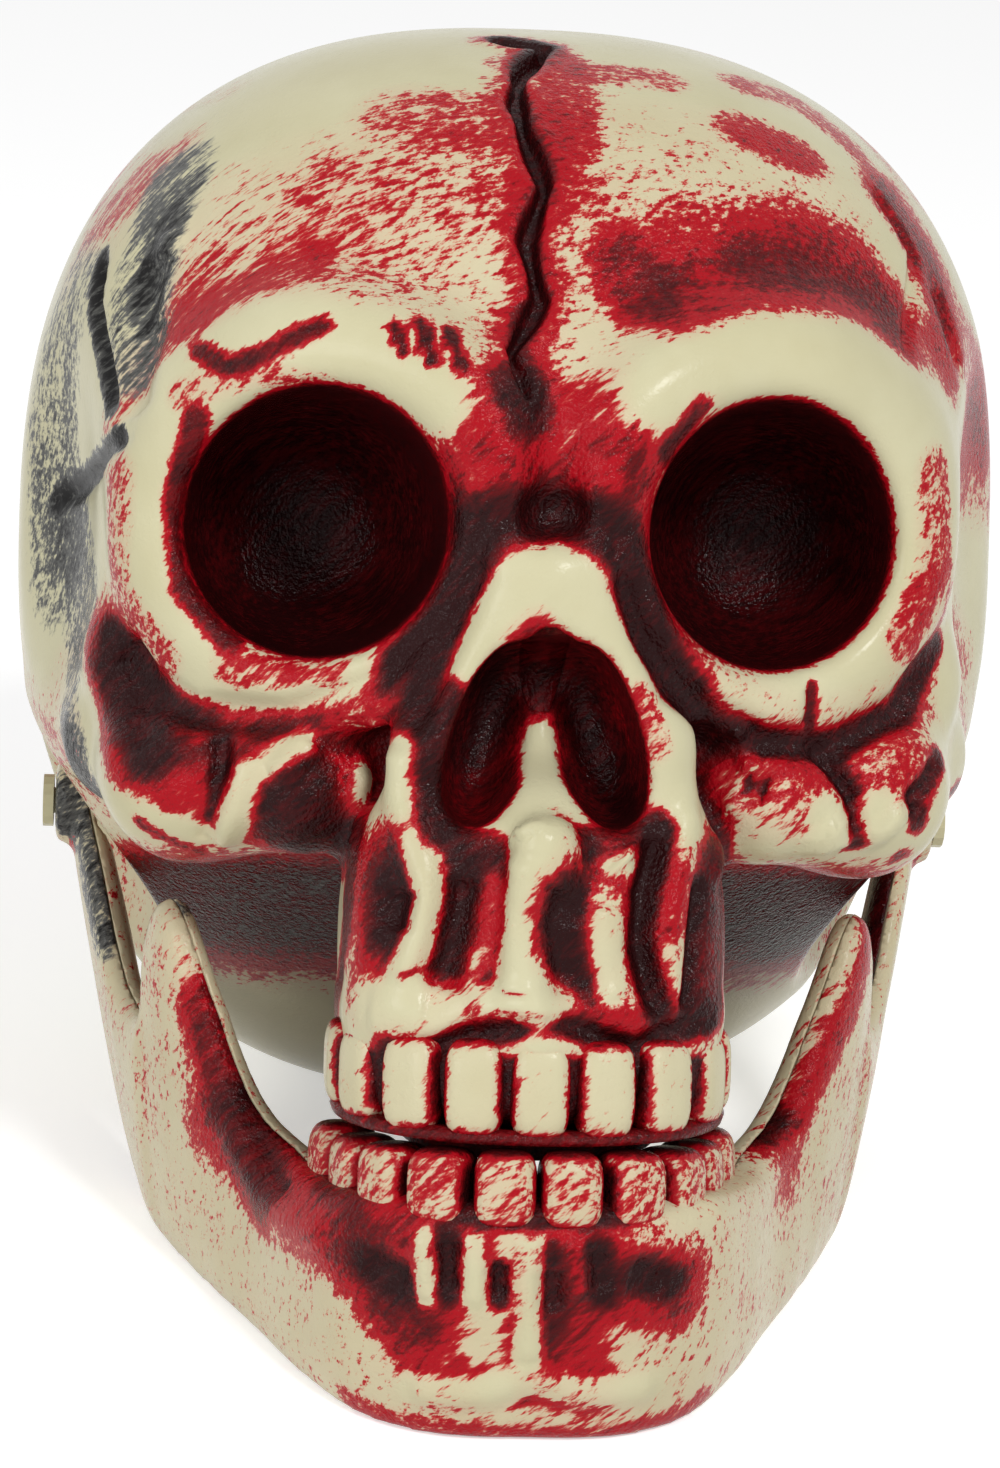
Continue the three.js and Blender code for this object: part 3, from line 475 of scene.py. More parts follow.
def settle(target, form, rounds, most=1.0):
    """Slides every point of a mesh down the slope of a form until it lies on it."""
    p = mesh_points(target)
    for _ in range(rounds):
        d = form(p)
        grad = slope_of(form, p)
        size = np.maximum((grad * grad).sum(-1), 0.05)
        move = -(d / size)[:, None] * grad
        length = np.linalg.norm(move, axis=-1, keepdims=True)
        p += move * np.minimum(1.0, most / np.maximum(length, 1e-9))
    set_points(target, p)
    return float(np.percentile(np.abs(form(p)), 99))


def even_out(target, rounds):
    bm = bmesh.new()
    bm.from_mesh(target.data)
    for _ in range(rounds):
        axes = {"use_axis_x": True, "use_axis_y": True, "use_axis_z": True}
        bmesh.ops.smooth_vert(bm, verts=bm.verts[:], factor=0.5, **axes)
    bm.to_mesh(target.data)
    bm.free()


even_out(head, 2)
print("after the first settling, 99% of the points are within", round(settle(head, head_fine, 3), 3), "mm")
even_out(head, 2)
print("after the second,", round(settle(head, head_fine, 3), 3), "mm")

# %% [markdown]
# The moulding is busy with small ridges, root grooves, lumps and one long crack. They were read off
# the photograph, so each is named with a few picture points, how far it rises in millimetres and how
# wide it is. A ray from the photograph's camera through a picture point finds its place on the form.

# %% From a picture point to a place on the form
CAMERA_TURN, CAMERA_ROLL, CAMERA_AWAY = math.radians(4.5), math.radians(1.5), 650.0
PICTURE_MIDDLE, PICTURE_FOCUS = (500.0, 734.0), 4198.0
BESIDE_FORM = 40.0
to_head = np.array([math.sin(CAMERA_TURN), math.cos(CAMERA_TURN), 0.0])
to_right = np.array([math.cos(CAMERA_TURN), -math.sin(CAMERA_TURN), 0.0])
camera_place = -CAMERA_AWAY * to_head


def picture_of(p):
    """Where places appear in the photograph, in its pixels."""
    seen = p - camera_place
    away = seen @ to_head
    u, v = seen @ to_right / away, seen[:, 2] / away
    c, s = math.cos(CAMERA_ROLL), math.sin(CAMERA_ROLL)
    across, up = u * c + v * s, v * c - u * s
    return np.stack([PICTURE_MIDDLE[0] + PICTURE_FOCUS * across, PICTURE_MIDDLE[1] - PICTURE_FOCUS * up], -1)


def place_on(target, pixel):
    """Where a picture point lies on a mesh, or the mesh's nearest place where its ray goes past."""
    u, v = (pixel[0] - PICTURE_MIDDLE[0]) / PICTURE_FOCUS, (PICTURE_MIDDLE[1] - pixel[1]) / PICTURE_FOCUS
    c, s = math.cos(CAMERA_ROLL), math.sin(CAMERA_ROLL)
    ray = Vector(to_head + to_right * (u * c - v * s)) + Vector((0.0, 0.0, v * c + u * s))
    met, place, _, _ = target.ray_cast(Vector(camera_place), ray.normalized())
    if not met:
        beside = Vector(camera_place) + ray * (CAMERA_AWAY - BESIDE_FORM)
        _, place, _, _ = target.closest_point_on_mesh(beside)
    return np.array(place[:])


EXAMPLE_PIXEL = (318.0, 700.0)
there = place_on(head, EXAMPLE_PIXEL)
print("picture point", EXAMPLE_PIXEL, "lies at", there.round(1))
print("and that place is seen at", picture_of(there[None]).round(1))

# %% [markdown]
# A stroke raises or sinks the skin along a short row of places, with eased sides and tapered ends. It
# could also be cut as geometry, but the real ridges are soft, and a shift of the skin's own points
# keeps them so. The net is made finer first where a stroke is thinner than its squares.

# %% The strokes of the head: name, rise, half width, picture points
HEAD_STROKES = [
    ("groove under the left rim", -1.7, 2.8,
     [(115, 633), (143, 681), (191, 715), (287, 715), (383, 672), (445, 609), (475, 535)]),
    ("groove under the right rim", -1.7, 2.8,
     [(628, 553), (650, 633), (706, 706), (763, 742), (832, 749), (899, 712), (935, 639)]),
    ("groove left of the nose", -1.5, 2.6, [(485, 561), (459, 617), (437, 665), (405, 745)]),
    ("groove right of the nose", -1.5, 2.6, [(622, 572), (644, 628), (670, 687), (718, 746)]),
    ("root of the nose", -1.4, 4.2, [(463, 532), (507, 521), (559, 519), (603, 528), (633, 547)]),
    ("hollow of the left cheek", -2.4, 4.5, [(114, 650), (135, 710), (143, 745)]),
    ("groove of the left cheek", -1.8, 1.8, [(222, 735), (220, 770), (208, 842)]),
    ("ridge of the left cheek", 1.5, 2.6, [(252, 755), (235, 810), (214, 842)]),
    ("high ridge of the left cheek", 1.3, 2.4, [(312, 742), (275, 778)]),
    ("thin ridge left of the upper jaw", 1.2, 1.8, [(378, 712), (362, 780), (354, 858)]),
    ("long ridge of the left eye tooth", 1.7, 3.0, [(400, 745), (400, 794), (429, 898), (400, 990)]),
    ("inner lump of the right cheek", 2.2, 4.6, [(827, 820), (831, 845)]),
    ("outer lump of the right cheek", 2.0, 4.6, [(880, 815), (892, 830)]),
    ("groove of the right cheek", -2.2, 1.5, [(820, 745), (852, 798), (855, 832)]),
    ("notch of the right cheek", -1.6, 1.6, [(938, 759), (912, 798), (918, 815)]),
    ("short ridge of the right cheek", 1.6, 1.6, [(739, 732), (753, 772)]),
    ("low ridge of the right cheek", 1.2, 1.8, [(733, 798), (712, 880)]),
    ("small hollow of the right cheek", -1.8, 3.0, [(742, 780), (770, 790)]),
    ("notch of the right rim", -1.2, 1.2, [(812, 686), (809, 728)]),
    ("ball under the nose", 1.2, 4.0, [(527, 828), (526, 838)]),
    ("middle ridge of the upper jaw", 1.6, 3.2, [(524, 855), (518, 942), (514, 998)]),
    ("oval hollow left", -2.5, 3.6, [(394, 890), (388, 930)]),
    ("root groove left", -2.3, 3.2, [(463, 875), (448, 953), (437, 990)]),
    ("root hollow right", -2.4, 3.8, [(572, 896), (559, 925), (574, 1000)]),
    ("curved root groove right", -2.3, 2.2, [(658, 835), (644, 894), (640, 942), (659, 1022)]),
    ("side groove right", -1.3, 1.3, [(698, 883), (685, 1013)]),
    ("lump beside the nose", 1.6, 2.8, [(622, 855), (628, 860)]),
    ("long ridge of the right eye tooth", 1.2, 3.2, [(603, 905), (604, 961), (618, 998)]),
    ("side ridge right", 1.2, 2.4, [(690, 800), (668, 925), (672, 1000)]),
    ("gum over the left teeth", 1.0, 4.0, [(370, 1012), (425, 1020)]),
    ("gum over the middle teeth", 1.0, 3.4, [(470, 1008), (550, 1010)]),
    ("gum over the right teeth", 1.0, 4.0, [(595, 1015), (662, 1010)]),
    ("gum line", -1.5, 1.9,
     [(392, 1048), (429, 1052), (466, 1034), (507, 1028), (574, 1026), (633, 1048), (662, 1034), (707, 1020)]),
    ("line of the left temple", -1.6, 1.6, [(103, 260), (96, 308), (112, 408)]),
    ("valley of the left temple", -2.2, 5.0, [(158, 255), (144, 341), (129, 418)]),
    ("slash of the left temple", -1.6, 1.9, [(60, 500), (96, 470), (124, 437)]),
    ("ridge of the left temple", 1.2, 3.4, [(172, 230), (158, 317)]),
    ("line of the right temple", -1.0, 1.4, [(873, 189), (914, 255), (909, 357)]),
    ("edge of the right temple", -1.2, 2.2, [(935, 286), (950, 330), (960, 367)]),
]
CRACK = [
    (500, 42), (545, 50), (520, 75), (516, 97), (524, 130),
    (545, 185), (527, 240), (540, 300), (512, 352), (528, 396),
]
CRACK_DEPTH, CRACK_HALF, CRACK_LIP = 2.3, 1.7, 0.35
CRACK_REACH, CRACK_NEAR, CRACK_EDGE, CRACK_WAVES, CRACK_WAVINESS = 6.0, 3.2, 0.5, 41.0, 0.25
CRACK_NARROWING, CRACK_FADING, CRACK_SIDE, LIP_PLACE, LIP_HALF = 0.55, 0.4, 0.75, 1.6, 1.6
STROKE_SIDES, STROKE_REACH, THIN_STROKE, STROKE_EDGE = 1.5, 1.6, 3.2, 0.8
TAPER_RATE, TAPER_START, DEEPEST, SLOPE_STEP = 7.0, 0.35, 2.6, 0.4


def distance_to_row(p, row):
    """Distance from points to a row of places, and how far along the row the nearest one is."""
    nearest = np.full(len(p), 1e9)
    along = np.zeros(len(p))
    for number, (a, b) in enumerate(zip(row, row[1:])):
        line = b - a
        if not line.any():
            continue
        t = np.clip(((p - a) @ line) / (line @ line), 0.0, 1.0)
        d = np.linalg.norm(p - a - t[:, None] * line, axis=-1)
        closer = d < nearest
        nearest = np.where(closer, d, nearest)
        along = np.where(closer, (number + t) / (len(row) - 1), along)
    return nearest, along


def near_box(p, row, reach):
    low, high = np.min(row, axis=0) - reach, np.max(row, axis=0) + reach
    return np.flatnonzero(((p > low) & (p < high)).all(-1))


def row_on(target, pixels):
    return np.array([place_on(target, pixel) for pixel in pixels])


def placed(target, strokes):
    return [(rise, half, row_on(target, pixels)) for _, rise, half, pixels in strokes]


def stroke_shift(p, strokes):
    """How far each point moves out of the surface."""
    shift = np.zeros(len(p))
    for rise, half, row in strokes:
        chosen = near_box(p, row, half * STROKE_REACH)
        d, along = distance_to_row(p[chosen], row)
        taper = eased(np.minimum(along, 1.0 - along) * TAPER_RATE + TAPER_START)
        shift[chosen] += rise * eased(1.0 - d / (half * STROKE_SIDES)) * taper
    return shift


def crack_shift(p, row):
    """A crack of uneven width that narrows and fades in its last part, with a low lip on each side."""
    shift = np.zeros(len(p))
    chosen = near_box(p, row, CRACK_REACH)
    d, along = distance_to_row(p[chosen], row)
    narrowing = CRACK_NARROWING * eased(along * 4.0 - 3.2)
    half = CRACK_HALF * (1.0 + CRACK_WAVINESS * np.sin(along * CRACK_WAVES) - narrowing)
    side = eased((half - d) / (half * CRACK_SIDE))
    deep = CRACK_DEPTH * side * (1.0 - CRACK_FADING * eased(along * 4.0 - 3.0))
    shift[chosen] = CRACK_LIP * eased(1.0 - np.abs(d - half * LIP_PLACE) / LIP_HALF) - deep
    return shift


def refine(target, wanted, longest):
    """Splits the edges longer than a length whose two ends are wanted."""
    bm = bmesh.new()
    bm.from_mesh(target.data)
    chosen = wanted(points_of(bm))
    bm.verts.index_update()
    inside = [edge for edge in bm.edges if all(chosen[vert.index] for vert in edge.verts)]
    edges = [edge for edge in inside if edge.calc_length() > longest]
    bmesh.ops.subdivide_edges(bm, edges=edges, cuts=1, use_grid_fill=True)
    bmesh.ops.triangulate(bm, faces=[face for face in bm.faces if len(face.verts) > 4])
    bm.to_mesh(target.data)
    bm.free()


def move_out(target, slope, shift):
    slope = slope / np.maximum(np.linalg.norm(slope, axis=-1, keepdims=True), 1e-9)
    set_points(target, mesh_points(target) + slope * shift[:, None])


head_strokes = placed(head, HEAD_STROKES)
crack_row = row_on(head, CRACK)


def near_crack(p):
    return distance_to_row(p, crack_row)[0] < CRACK_NEAR


def near_thin_strokes(p):
    chosen = near_crack(p)
    for _, half, row in head_strokes:
        if half <= THIN_STROKE:
            index = near_box(p, row, half * STROKE_REACH)
            chosen[index] |= distance_to_row(p[index], row)[0] < half * 1.4
    return chosen


refine(head, near_thin_strokes, STROKE_EDGE)
refine(head, near_crack, CRACK_EDGE)
settle(head, head_fine, 2)
p = mesh_points(head)
shift = stroke_shift(p, head_strokes) + crack_shift(p, crack_row)
move_out(head, slope_of(head_fine, p, SLOPE_STEP), np.maximum(shift, -DEEPEST))
moved = [float(v.round(2)) for v in (shift.min(), shift.max())]
print("head with its strokes:", len(head.data.vertices), "points, moved", moved, "mm")

# %% [markdown]
# The head is hollow, with a wall of about three millimetres, and parts into a face and a back half
# along a line that steps down over the cheeks. The hollow is the same form met a wall's thickness
# deeper, kept clear of the sockets. A prism drawn in side view then leaves each half, and another
# trims off what would lie below the table.

# %% The hollow and the two halves
WALL, SEAM, PRISM_HALF = 2.8, 0.3, 150.0
HOLLOW_DEPTH, HOLLOW_AROUND, HOLLOW_HIGH = WALL * 1.2, 64, 44
PARTING = [(14.0, 170.0), (14.0, 1.0), (-50.0, -19.0), (-50.0, -120.0), (-150.0, -120.0), (-150.0, 170.0)]
CHIN_Y, CHIN_Z, TABLE_RISE = -72.0, -96.0, 1.2
TABLE_FRONT, TABLE_BACK, TABLE_BOTTOM = -145.0, 176.0, -216.0


def side_prism(corners):
    bm = bmesh.new()
    outline = [bm.verts.new((-PRISM_HALF, y, z)) for y, z in corners]
    face = bm.faces.new(outline)
    grown = bmesh.ops.extrude_face_region(bm, geom=[face])
    moved = [item for item in grown["geom"] if isinstance(item, bmesh.types.BMVert)]
    bmesh.ops.translate(bm, verts=moved, vec=(2.0 * PRISM_HALF, 0.0, 0.0))
    face_outwards(bm)
    return bm


def ahead_of_parting(shift):
    s = shift * math.sqrt(0.5)
    return side_prism([(y - s, z + s) for y, z in PARTING])


def below_table():
    """All below the plane that the leaning skull lies on, which trims the chin and the occiput flat."""
    front, back = (CHIN_Z + TABLE_RISE + math.tan(LEAN) * (y - CHIN_Y) for y in (TABLE_FRONT, TABLE_BACK))
    under = [(TABLE_FRONT, TABLE_BOTTOM), (TABLE_BACK, TABLE_BOTTOM)]
    return side_prism([(TABLE_FRONT, front), *under, (TABLE_BACK, back)])


def copy_of(source, name):
    twin = bpy.data.objects.new(name, source.data.copy())
    bpy.context.scene.collection.objects.link(twin)
    return twin


hollow = as_object("hollow", form_skin(HOLLOW_DEPTH, HOLLOW_AROUND, HOLLOW_HIGH))
for make in hollow_makers:
    for side in both:
        cut(hollow, make(HOLLOW_DEPTH, side))
cut(head, hollow, solver="MANIFOLD")
cut(head, below_table(), solver="MANIFOLD")
face_skin, back_skin = copy_of(head, "face_skin"), copy_of(head, "back_skin")
bpy.data.objects.remove(head)
cut(face_skin, ahead_of_parting(SEAM / 2), "INTERSECT", "MANIFOLD")
cut(back_skin, ahead_of_parting(-SEAM / 2), "DIFFERENCE", "MANIFOLD")


def triangles_of(target):
    return sum(len(face.vertices) - 2 for face in target.data.polygons)


print("face skin:", triangles_of(face_skin), "triangles; back skin:", triangles_of(back_skin))

# %% [markdown]
# The lower jaw is one long blade bent round from hinge to hinge: low and thick at the chin, tall and
# thin where it turns up to the head, with a prong in front of the hinge. A sphere has the same net as
# a closed tube: its rings become the sections along the jaw, and its two poles close the ends.

# %% Curves through the jaw's stations
JAW_RINGS, JAW_AROUND = 340, 64
CORE_INSET, CORE_FROM, CORE_TO, CORE_RINGS, CORE_AROUND = 2.0, 0.1, 0.9, 60, 16
PARTING_SECTIONS, PARTING_HEIGHTS, BEHIND_JAW = 61, (-0.12, 1.15), 60.0
BLADE_POWER = 2 / 3
BOSS_RADIUS, BOSS_INNER, BOSS_OUTER, BOSS_ROUND = 6.5, 61.8, 68.2, 1.2
RELIEF_RADIUS, RELIEF_INNER = 7.5, 50.4
BORE_RADIUS, BORE_INNER, BORE_OUTER = 2.3, 40.0, 75.0
jaw_top = np.array([
    (0.0, -85.0, -62.4), (12.75, -83.2, -62.4), (21.9, -76.1, -62.4), (27.8, -64.1, -61.6),
    (32.1, -52.1, -59.0), (37.5, -44.9, -54.0), (43.9, -41.4, -38.9), (49.5, -36.9, -25.4),
    (51.5, -30.7, -27.1), (53.0, -24.5, -42.2), (56.4, -13.8, -38.9), (61.5, -4.9, -18.7),
    (65.0, 4.0, -6.1), (65.0, 11.1, -10.3),
])
jaw_bottom = np.array([
    (0.0, -73.4, -96.0), (11.0, -72.5, -96.0), (18.9, -68.1, -95.0), (26.4, -58.3, -91.4),
    (33.3, -45.8, -87.0), (39.6, -34.3, -83.0), (43.4, -27.2, -80.9), (45.8, -21.8, -79.2),
    (47.2, -18.7, -77.9), (48.6, -15.6, -76.3), (49.8, -8.9, -75.0), (51.0, -5.8, -73.3),
    (52.0, -2.7, -70.4), (53.1, 0.0, -66.6),
])
jaw_half_thick = 6.0 * np.array([1, 1, 1, 0.98, 0.9, 0.82, 0.74, 0.7, 0.68, 0.62, 0.6, 0.56, 0.53, 0.4])


def from_side_to_side(stations):
    """The stations of one side, carried through the middle of the chin to the other side."""
    mirrored = stations[:0:-1].copy()
    if stations.ndim > 1:
        mirrored[:, 0] *= -1.0
    return np.concatenate([mirrored, stations])


def along_curve(stations, shares):
    """A smooth curve through the stations, with gentler turns where they stand close together."""
    points = stations if stations.ndim > 1 else stations[:, None]
    ends = [2.0 * points[0] - points[1]], [2.0 * points[-1] - points[-2]]
    padded = np.concatenate([ends[0], points, ends[1]])
    at = np.clip(np.asarray(shares, float) * (len(points) - 1), 0.0, len(points) - 1.000001)
    first = at.astype(int)
    t = (at - first)[:, None]
    p0, p1, p2, p3 = (padded[first + i] for i in range(4))
    gap = lambda a, b: np.maximum(np.linalg.norm(b - a, axis=-1, keepdims=True) ** 0.5, 1e-4)
    g0, g1, g2 = gap(p0, p1), gap(p1, p2), gap(p2, p3)
    m1 = ((p1 - p0) / g0 - (p2 - p0) / (g0 + g1) + (p2 - p1) / g1) * g1
    m2 = ((p2 - p1) / g1 - (p3 - p1) / (g1 + g2) + (p3 - p2) / g2) * g1
    made = p1 + m1 * t + (-3 * p1 + 3 * p2 - 2 * m1 - m2) * t ** 2 + (2 * p1 - 2 * p2 + m1 + m2) * t ** 3
    return made if stations.ndim > 1 else made[:, 0]


top_curve, bottom_curve = from_side_to_side(jaw_top), from_side_to_side(jaw_bottom)
thick_curve = from_side_to_side(jaw_half_thick)


def blades(shares):
    shares = np.asarray(shares, float)
    top, bottom = along_curve(top_curve, shares), along_curve(bottom_curve, shares)
    near = 1.0 / 400.0
    before, after = np.maximum(shares - near, 0.0), np.minimum(shares + near, 1.0)
    middle = lambda s: (along_curve(top_curve, s) + along_curve(bottom_curve, s)) / 2.0
    along = middle(after) - middle(before)
    along[:, 2] = 0.0
    up = top - bottom
    outward = np.cross(along, up)
    outward /= np.linalg.norm(outward, axis=-1, keepdims=True)
    return top, bottom, up, outward, along_curve(thick_curve, shares)


def jaw_blade(inset, start, end, stations, around):
    bm = bmesh.new()
    bmesh.ops.create_uvsphere(bm, u_segments=around, v_segments=stations, radius=1.0)
    unit = points_of(bm)
    fall = np.arccos(np.clip(unit[:, 2], -1.0, 1.0)) / math.pi
    turn = np.arctan2(unit[:, 1], unit[:, 0])
    step = 1.0 / stations
    ring = np.clip((fall - step) / (1.0 - 2.0 * step), 0.0, 1.0)
    top, bottom, up, outward, half = blades(start + (end - start) * ring)
    length = np.linalg.norm(up, axis=-1, keepdims=True)
    axis = up / length
    c, s = np.cos(turn), np.sin(turn)
    open_ring = np.where((fall < step / 2) | (fall > 1.0 - step / 2), 0.0, 1.0)[:, None]
    sideways = (np.sign(c) * np.abs(c) ** BLADE_POWER * (half - inset))[:, None]
    upright = (np.sign(s) * np.abs(s) ** BLADE_POWER)[:, None] * (length / 2 - inset * 2.5)
    place_points(bm, (top + bottom) / 2 + open_ring * (outward * sideways + axis * upright))
    face_outwards(bm)
    return bm


def jaw_core(shift):
    """All that lies inside the parting, which runs down the middle of every blade."""
    _, bottom, up, outward, _ = blades(np.linspace(0.0, 1.0, PARTING_SECTIONS))
    outward[:, 2] = 0.0
    outward /= np.linalg.norm(outward, axis=-1, keepdims=True)
    bm = bmesh.new()
    rims = []
    for height in PARTING_HEIGHTS:
        row = bottom + up * height + outward * shift
        row = np.concatenate([row, [row[-1] + (0, BEHIND_JAW, 0), row[0] + (0, BEHIND_JAW, 0)]])
        verts = [bm.verts.new(point) for point in row]
        rims += [bm.edges.new((verts[i - 1], verts[i])) for i in range(len(verts))]
        bm.faces.new(verts)
    bmesh.ops.bridge_loops(bm, edges=rims)
    bmesh.ops.triangulate(bm, faces=bm.faces[:])
    face_outwards(bm)
    return bm


jaw = as_object("jaw", jaw_blade(0.0, 0.0, 1.0, JAW_RINGS, JAW_AROUND))
for side in both:
    cut(jaw, round_bar(RELIEF_RADIUS, RELIEF_INNER * side, BOSS_INNER * side))
for side in both:
    cut(jaw, round_bar(BOSS_RADIUS, BOSS_INNER * side, BOSS_OUTER * side, BOSS_ROUND), "UNION")
cut(jaw, jaw_blade(CORE_INSET, CORE_FROM, CORE_TO, CORE_RINGS, CORE_AROUND))
for side in both:
    cut(jaw, round_bar(BORE_RADIUS, BORE_INNER * side, BORE_OUTER * side))
cut(jaw, below_table())
print("jaw:", triangles_of(jaw), "triangles")

# %% [markdown]
# The chin has dents between the roots of the teeth, a ridge down its middle and two low arcs at its
# foot. They are strokes as on the head, and the jaw gets an even net first to carry them.

# %% The strokes of the jaw
JAW_STROKES = [
    ("left triangle", -1.5, 3.4, [(366, 1262), (405, 1284)]),
    ("left root dent", -1.6, 2.0, [(447, 1240), (447, 1292)]),
    ("left middle dent", -1.7, 1.5, [(498, 1266), (499, 1300)]),
    ("right middle dent", -1.3, 2.3, [(549, 1270), (551, 1312)]),
    ("right root dent", -1.4, 2.2, [(598, 1250), (604, 1292)]),
    ("right triangle", -1.5, 3.4, [(634, 1274), (668, 1282)]),
    ("ridge of the chin", 1.2, 2.2, [(531, 1232), (529, 1362)]),
    ("root bar left", 0.9, 2.0, [(423, 1235), (426, 1300)]),
    ("root bar middle", 0.9, 1.8, [(474, 1240), (474, 1305)]),
    ("root bar right", 0.8, 2.0, [(576, 1240), (578, 1300)]),
    ("left arc of the chin", 1.0, 2.6, [(529, 1376), (488, 1392), (410, 1390)]),
    ("right arc of the chin", 1.0, 2.6, [(534, 1374), (574, 1392), (655, 1386)]),
    ("left bar to the prong", 0.9, 3.0, [(330, 1240), (262, 1205), (226, 1120)]),
    ("valley of the left prong", -1.2, 3.0, [(250, 1130), (285, 1190)]),
    ("right bar to the prong", 0.9, 3.0, [(700, 1215), (764, 1190), (812, 1110)]),
]
even_net(jaw, JAW_NET)
even_out(jaw, 2)
move_out(jaw, mesh_normals(jaw), stroke_shift(mesh_points(jaw), placed(jaw, JAW_STROKES)))
jaw_front, jaw_rear = copy_of(jaw, "jaw_front"), copy_of(jaw, "jaw_rear")
bpy.data.objects.remove(jaw)
cut(jaw_front, jaw_core(SEAM / 2), "DIFFERENCE", "MANIFOLD")
cut(jaw_rear, jaw_core(-SEAM / 2), "INTERSECT", "MANIFOLD")
print("jaw front:", triangles_of(jaw_front), "triangles; jaw rear:", triangles_of(jaw_rear))

# %% [markdown]
# The teeth are bulges of the same moulding, set at an even pitch along each arch. Every tooth is a
# blunt ball, because a moulded tooth has no sharp edge. A ledge with a hanging lip closes the gap
# behind the two rows, where the photograph shows a dark band, and its dark colour is painted shade.
# It is one profile swept along the arch.

# %% Two rows of teeth
UPPER_TEETH, LOWER_TEETH, LOWER_PITCH = 11, 10, 8.6
TOOTH_SINK, TOOTH_BLUNTNESS, ARCH_STEPS = 1.0, 3.6, 400
LOWER_ROW_SHARE, LOWER_ROW_IN = 0.42, 0.87
BITE_SLOPE, FRONT_TOOTH_Y = 0.14, -83.8
UPPER_EDGE, UPPER_ROOT, UPPER_HALF_WIDE, UPPER_HALF_DEEP = -54.4, -41.0, 4.1, 3.4
LOWER_ROOT, LOWER_EDGE, LOWER_HALF_WIDE, LOWER_HALF_DEEP = -66.5, -55.8, 4.3, 4.6
LEDGE_PROFILE = [
    (2.6, -54.2), (2.3, -55.1), (-6.6, -55.3), (-7.2, -58.0), (-9.4, -58.0), (-9.4, -53.4), (1.8, -53.2),
]
LEDGE_SECTIONS, LEDGE_SHARE, LEDGE_ROUND = 73, 0.97, 0.3


def along_arch(point_at, count, pitch):
    """Places and headings at an even pitch along an arch, counted out from its middle to both sides."""
    shares = np.linspace(0.0, 1.0, ARCH_STEPS + 1)
    path = np.array([point_at(share) for share in shares])
    length = np.concatenate([[0.0], np.cumsum(np.linalg.norm(np.diff(path, axis=0), axis=-1))])
    row = []
    for number in range(count):
        want = (number - (count - 1) / 2) * pitch
        at = min(max(int(np.searchsorted(length, abs(want))), 1), ARCH_STEPS)
        side = -1.0 if want < 0 else 1.0
        step = path[at] - path[at - 1]
        point = path[at].copy()
        if abs(want) < pitch / 4:
            point[0] = 0.0
        row.append((point * (side, 1, 1), math.atan2(step[1], step[0]) * side))
    return row


def upper_arch(share):
    turn = share * math.pi / 2
    x, y = GUM_HALF[:2] - TOOTH_SINK
    across, ahead = (max(v, 0.0) ** (2 / ARCH_BLUNTNESS) for v in (math.sin(turn), math.cos(turn)))
    return np.array([x * across, GUM_CENTRE[1] - y * ahead, 0.0])


def lower_arch(share):
    return along_curve(top_curve, [0.5 + 0.5 * share * LOWER_ROW_SHARE])[0] * (LOWER_ROW_IN, 1.0, 1.0)


def bite_rise(y):
    """The upper row's edge rises towards the back teeth."""
    return BITE_SLOPE * (y - FRONT_TOOTH_Y)


def tooth_row(name, teeth):
    whole = bmesh.new()
    for centre, half, heading in teeth:
        tooth = blunt_ball(centre, half, TOOTH_BLUNTNESS, 32, 24, turn=heading)
        mesh = bpy.data.meshes.new("tooth")
        tooth.to_mesh(mesh)
        tooth.free()
        whole.from_mesh(mesh)
        bpy.data.meshes.remove(mesh)
    return as_object(name, whole)


def bite_ledge():
    """A shelf along the upper arch under the teeth, with a lip that hangs down behind the lower ones."""
    bm = bmesh.new()
    rings = []
    for share in np.linspace(-LEDGE_SHARE, LEDGE_SHARE, LEDGE_SECTIONS):
        x, y, _ = upper_arch(abs(share))
        heading = np.array([x, y - GUM_CENTRE[1]]) / math.hypot(x, y - GUM_CENTRE[1])
        ring = []
        for reach, height in LEDGE_PROFILE:
            across, ahead = x + heading[0] * reach, y + heading[1] * reach
            across = math.copysign(across, share) if share else 0.0
            ring.append(bm.verts.new((across, ahead, height + bite_rise(y))))
        rings.append(ring)
    for one, other in zip(rings, rings[1:]):
        for number in range(len(one)):
            after = (number + 1) % len(one)
            bm.faces.new((one[number], one[after], other[after], other[number]))
    bm.faces.new(rings[0][::-1])
    bm.faces.new(rings[-1])
    rims = [edge for edge in bm.edges if edge.calc_face_angle(0.0) > 0.5]
    bmesh.ops.bevel(bm, geom=rims, offset=LEDGE_ROUND, segments=2, profile=0.5, affect="EDGES")
    face_outwards(bm)
    return as_object("bite_ledge", bm)


upper = []
for point, heading in along_arch(upper_arch, UPPER_TEETH, UPPER_PITCH):
    rise = bite_rise(point[1])
    low, high = UPPER_EDGE + rise, UPPER_ROOT + rise * 0.4
    half = (UPPER_HALF_WIDE, UPPER_HALF_DEEP, (high - low) / 2)
    upper.append(((point[0], point[1], (low + high) / 2), half, heading))
lower = []
for point, heading in along_arch(lower_arch, LOWER_TEETH, LOWER_PITCH):
    low, high = LOWER_ROOT, LOWER_EDGE + point[2] - jaw_top[0, 2]
    half = (LOWER_HALF_WIDE, LOWER_HALF_DEEP, (high - low) / 2)
    lower.append(((point[0], point[1], (low + high) / 2), half, heading))
upper_teeth, lower_teeth = tooth_row("upper_teeth", upper), tooth_row("lower_teeth", lower)
print("upper teeth:", len(upper), "lower teeth:", len(lower))
ledge = bite_ledge()

# %% [markdown]
# The moulding is sprayed dark red and wiped while wet, so the paint stays in every hollow and comes
# off the ridges. How much is left is one number at each point, the ink. It comes from how hollow the
# surface is there, from how deep in a socket the point lies, and from strokes of a brush or a rag.
# On the faces that look down under the cheekbones and on the ledge behind the teeth, the same number
# also carries painted shade.

# %% How hollow the surface is
KEEP = 0.35


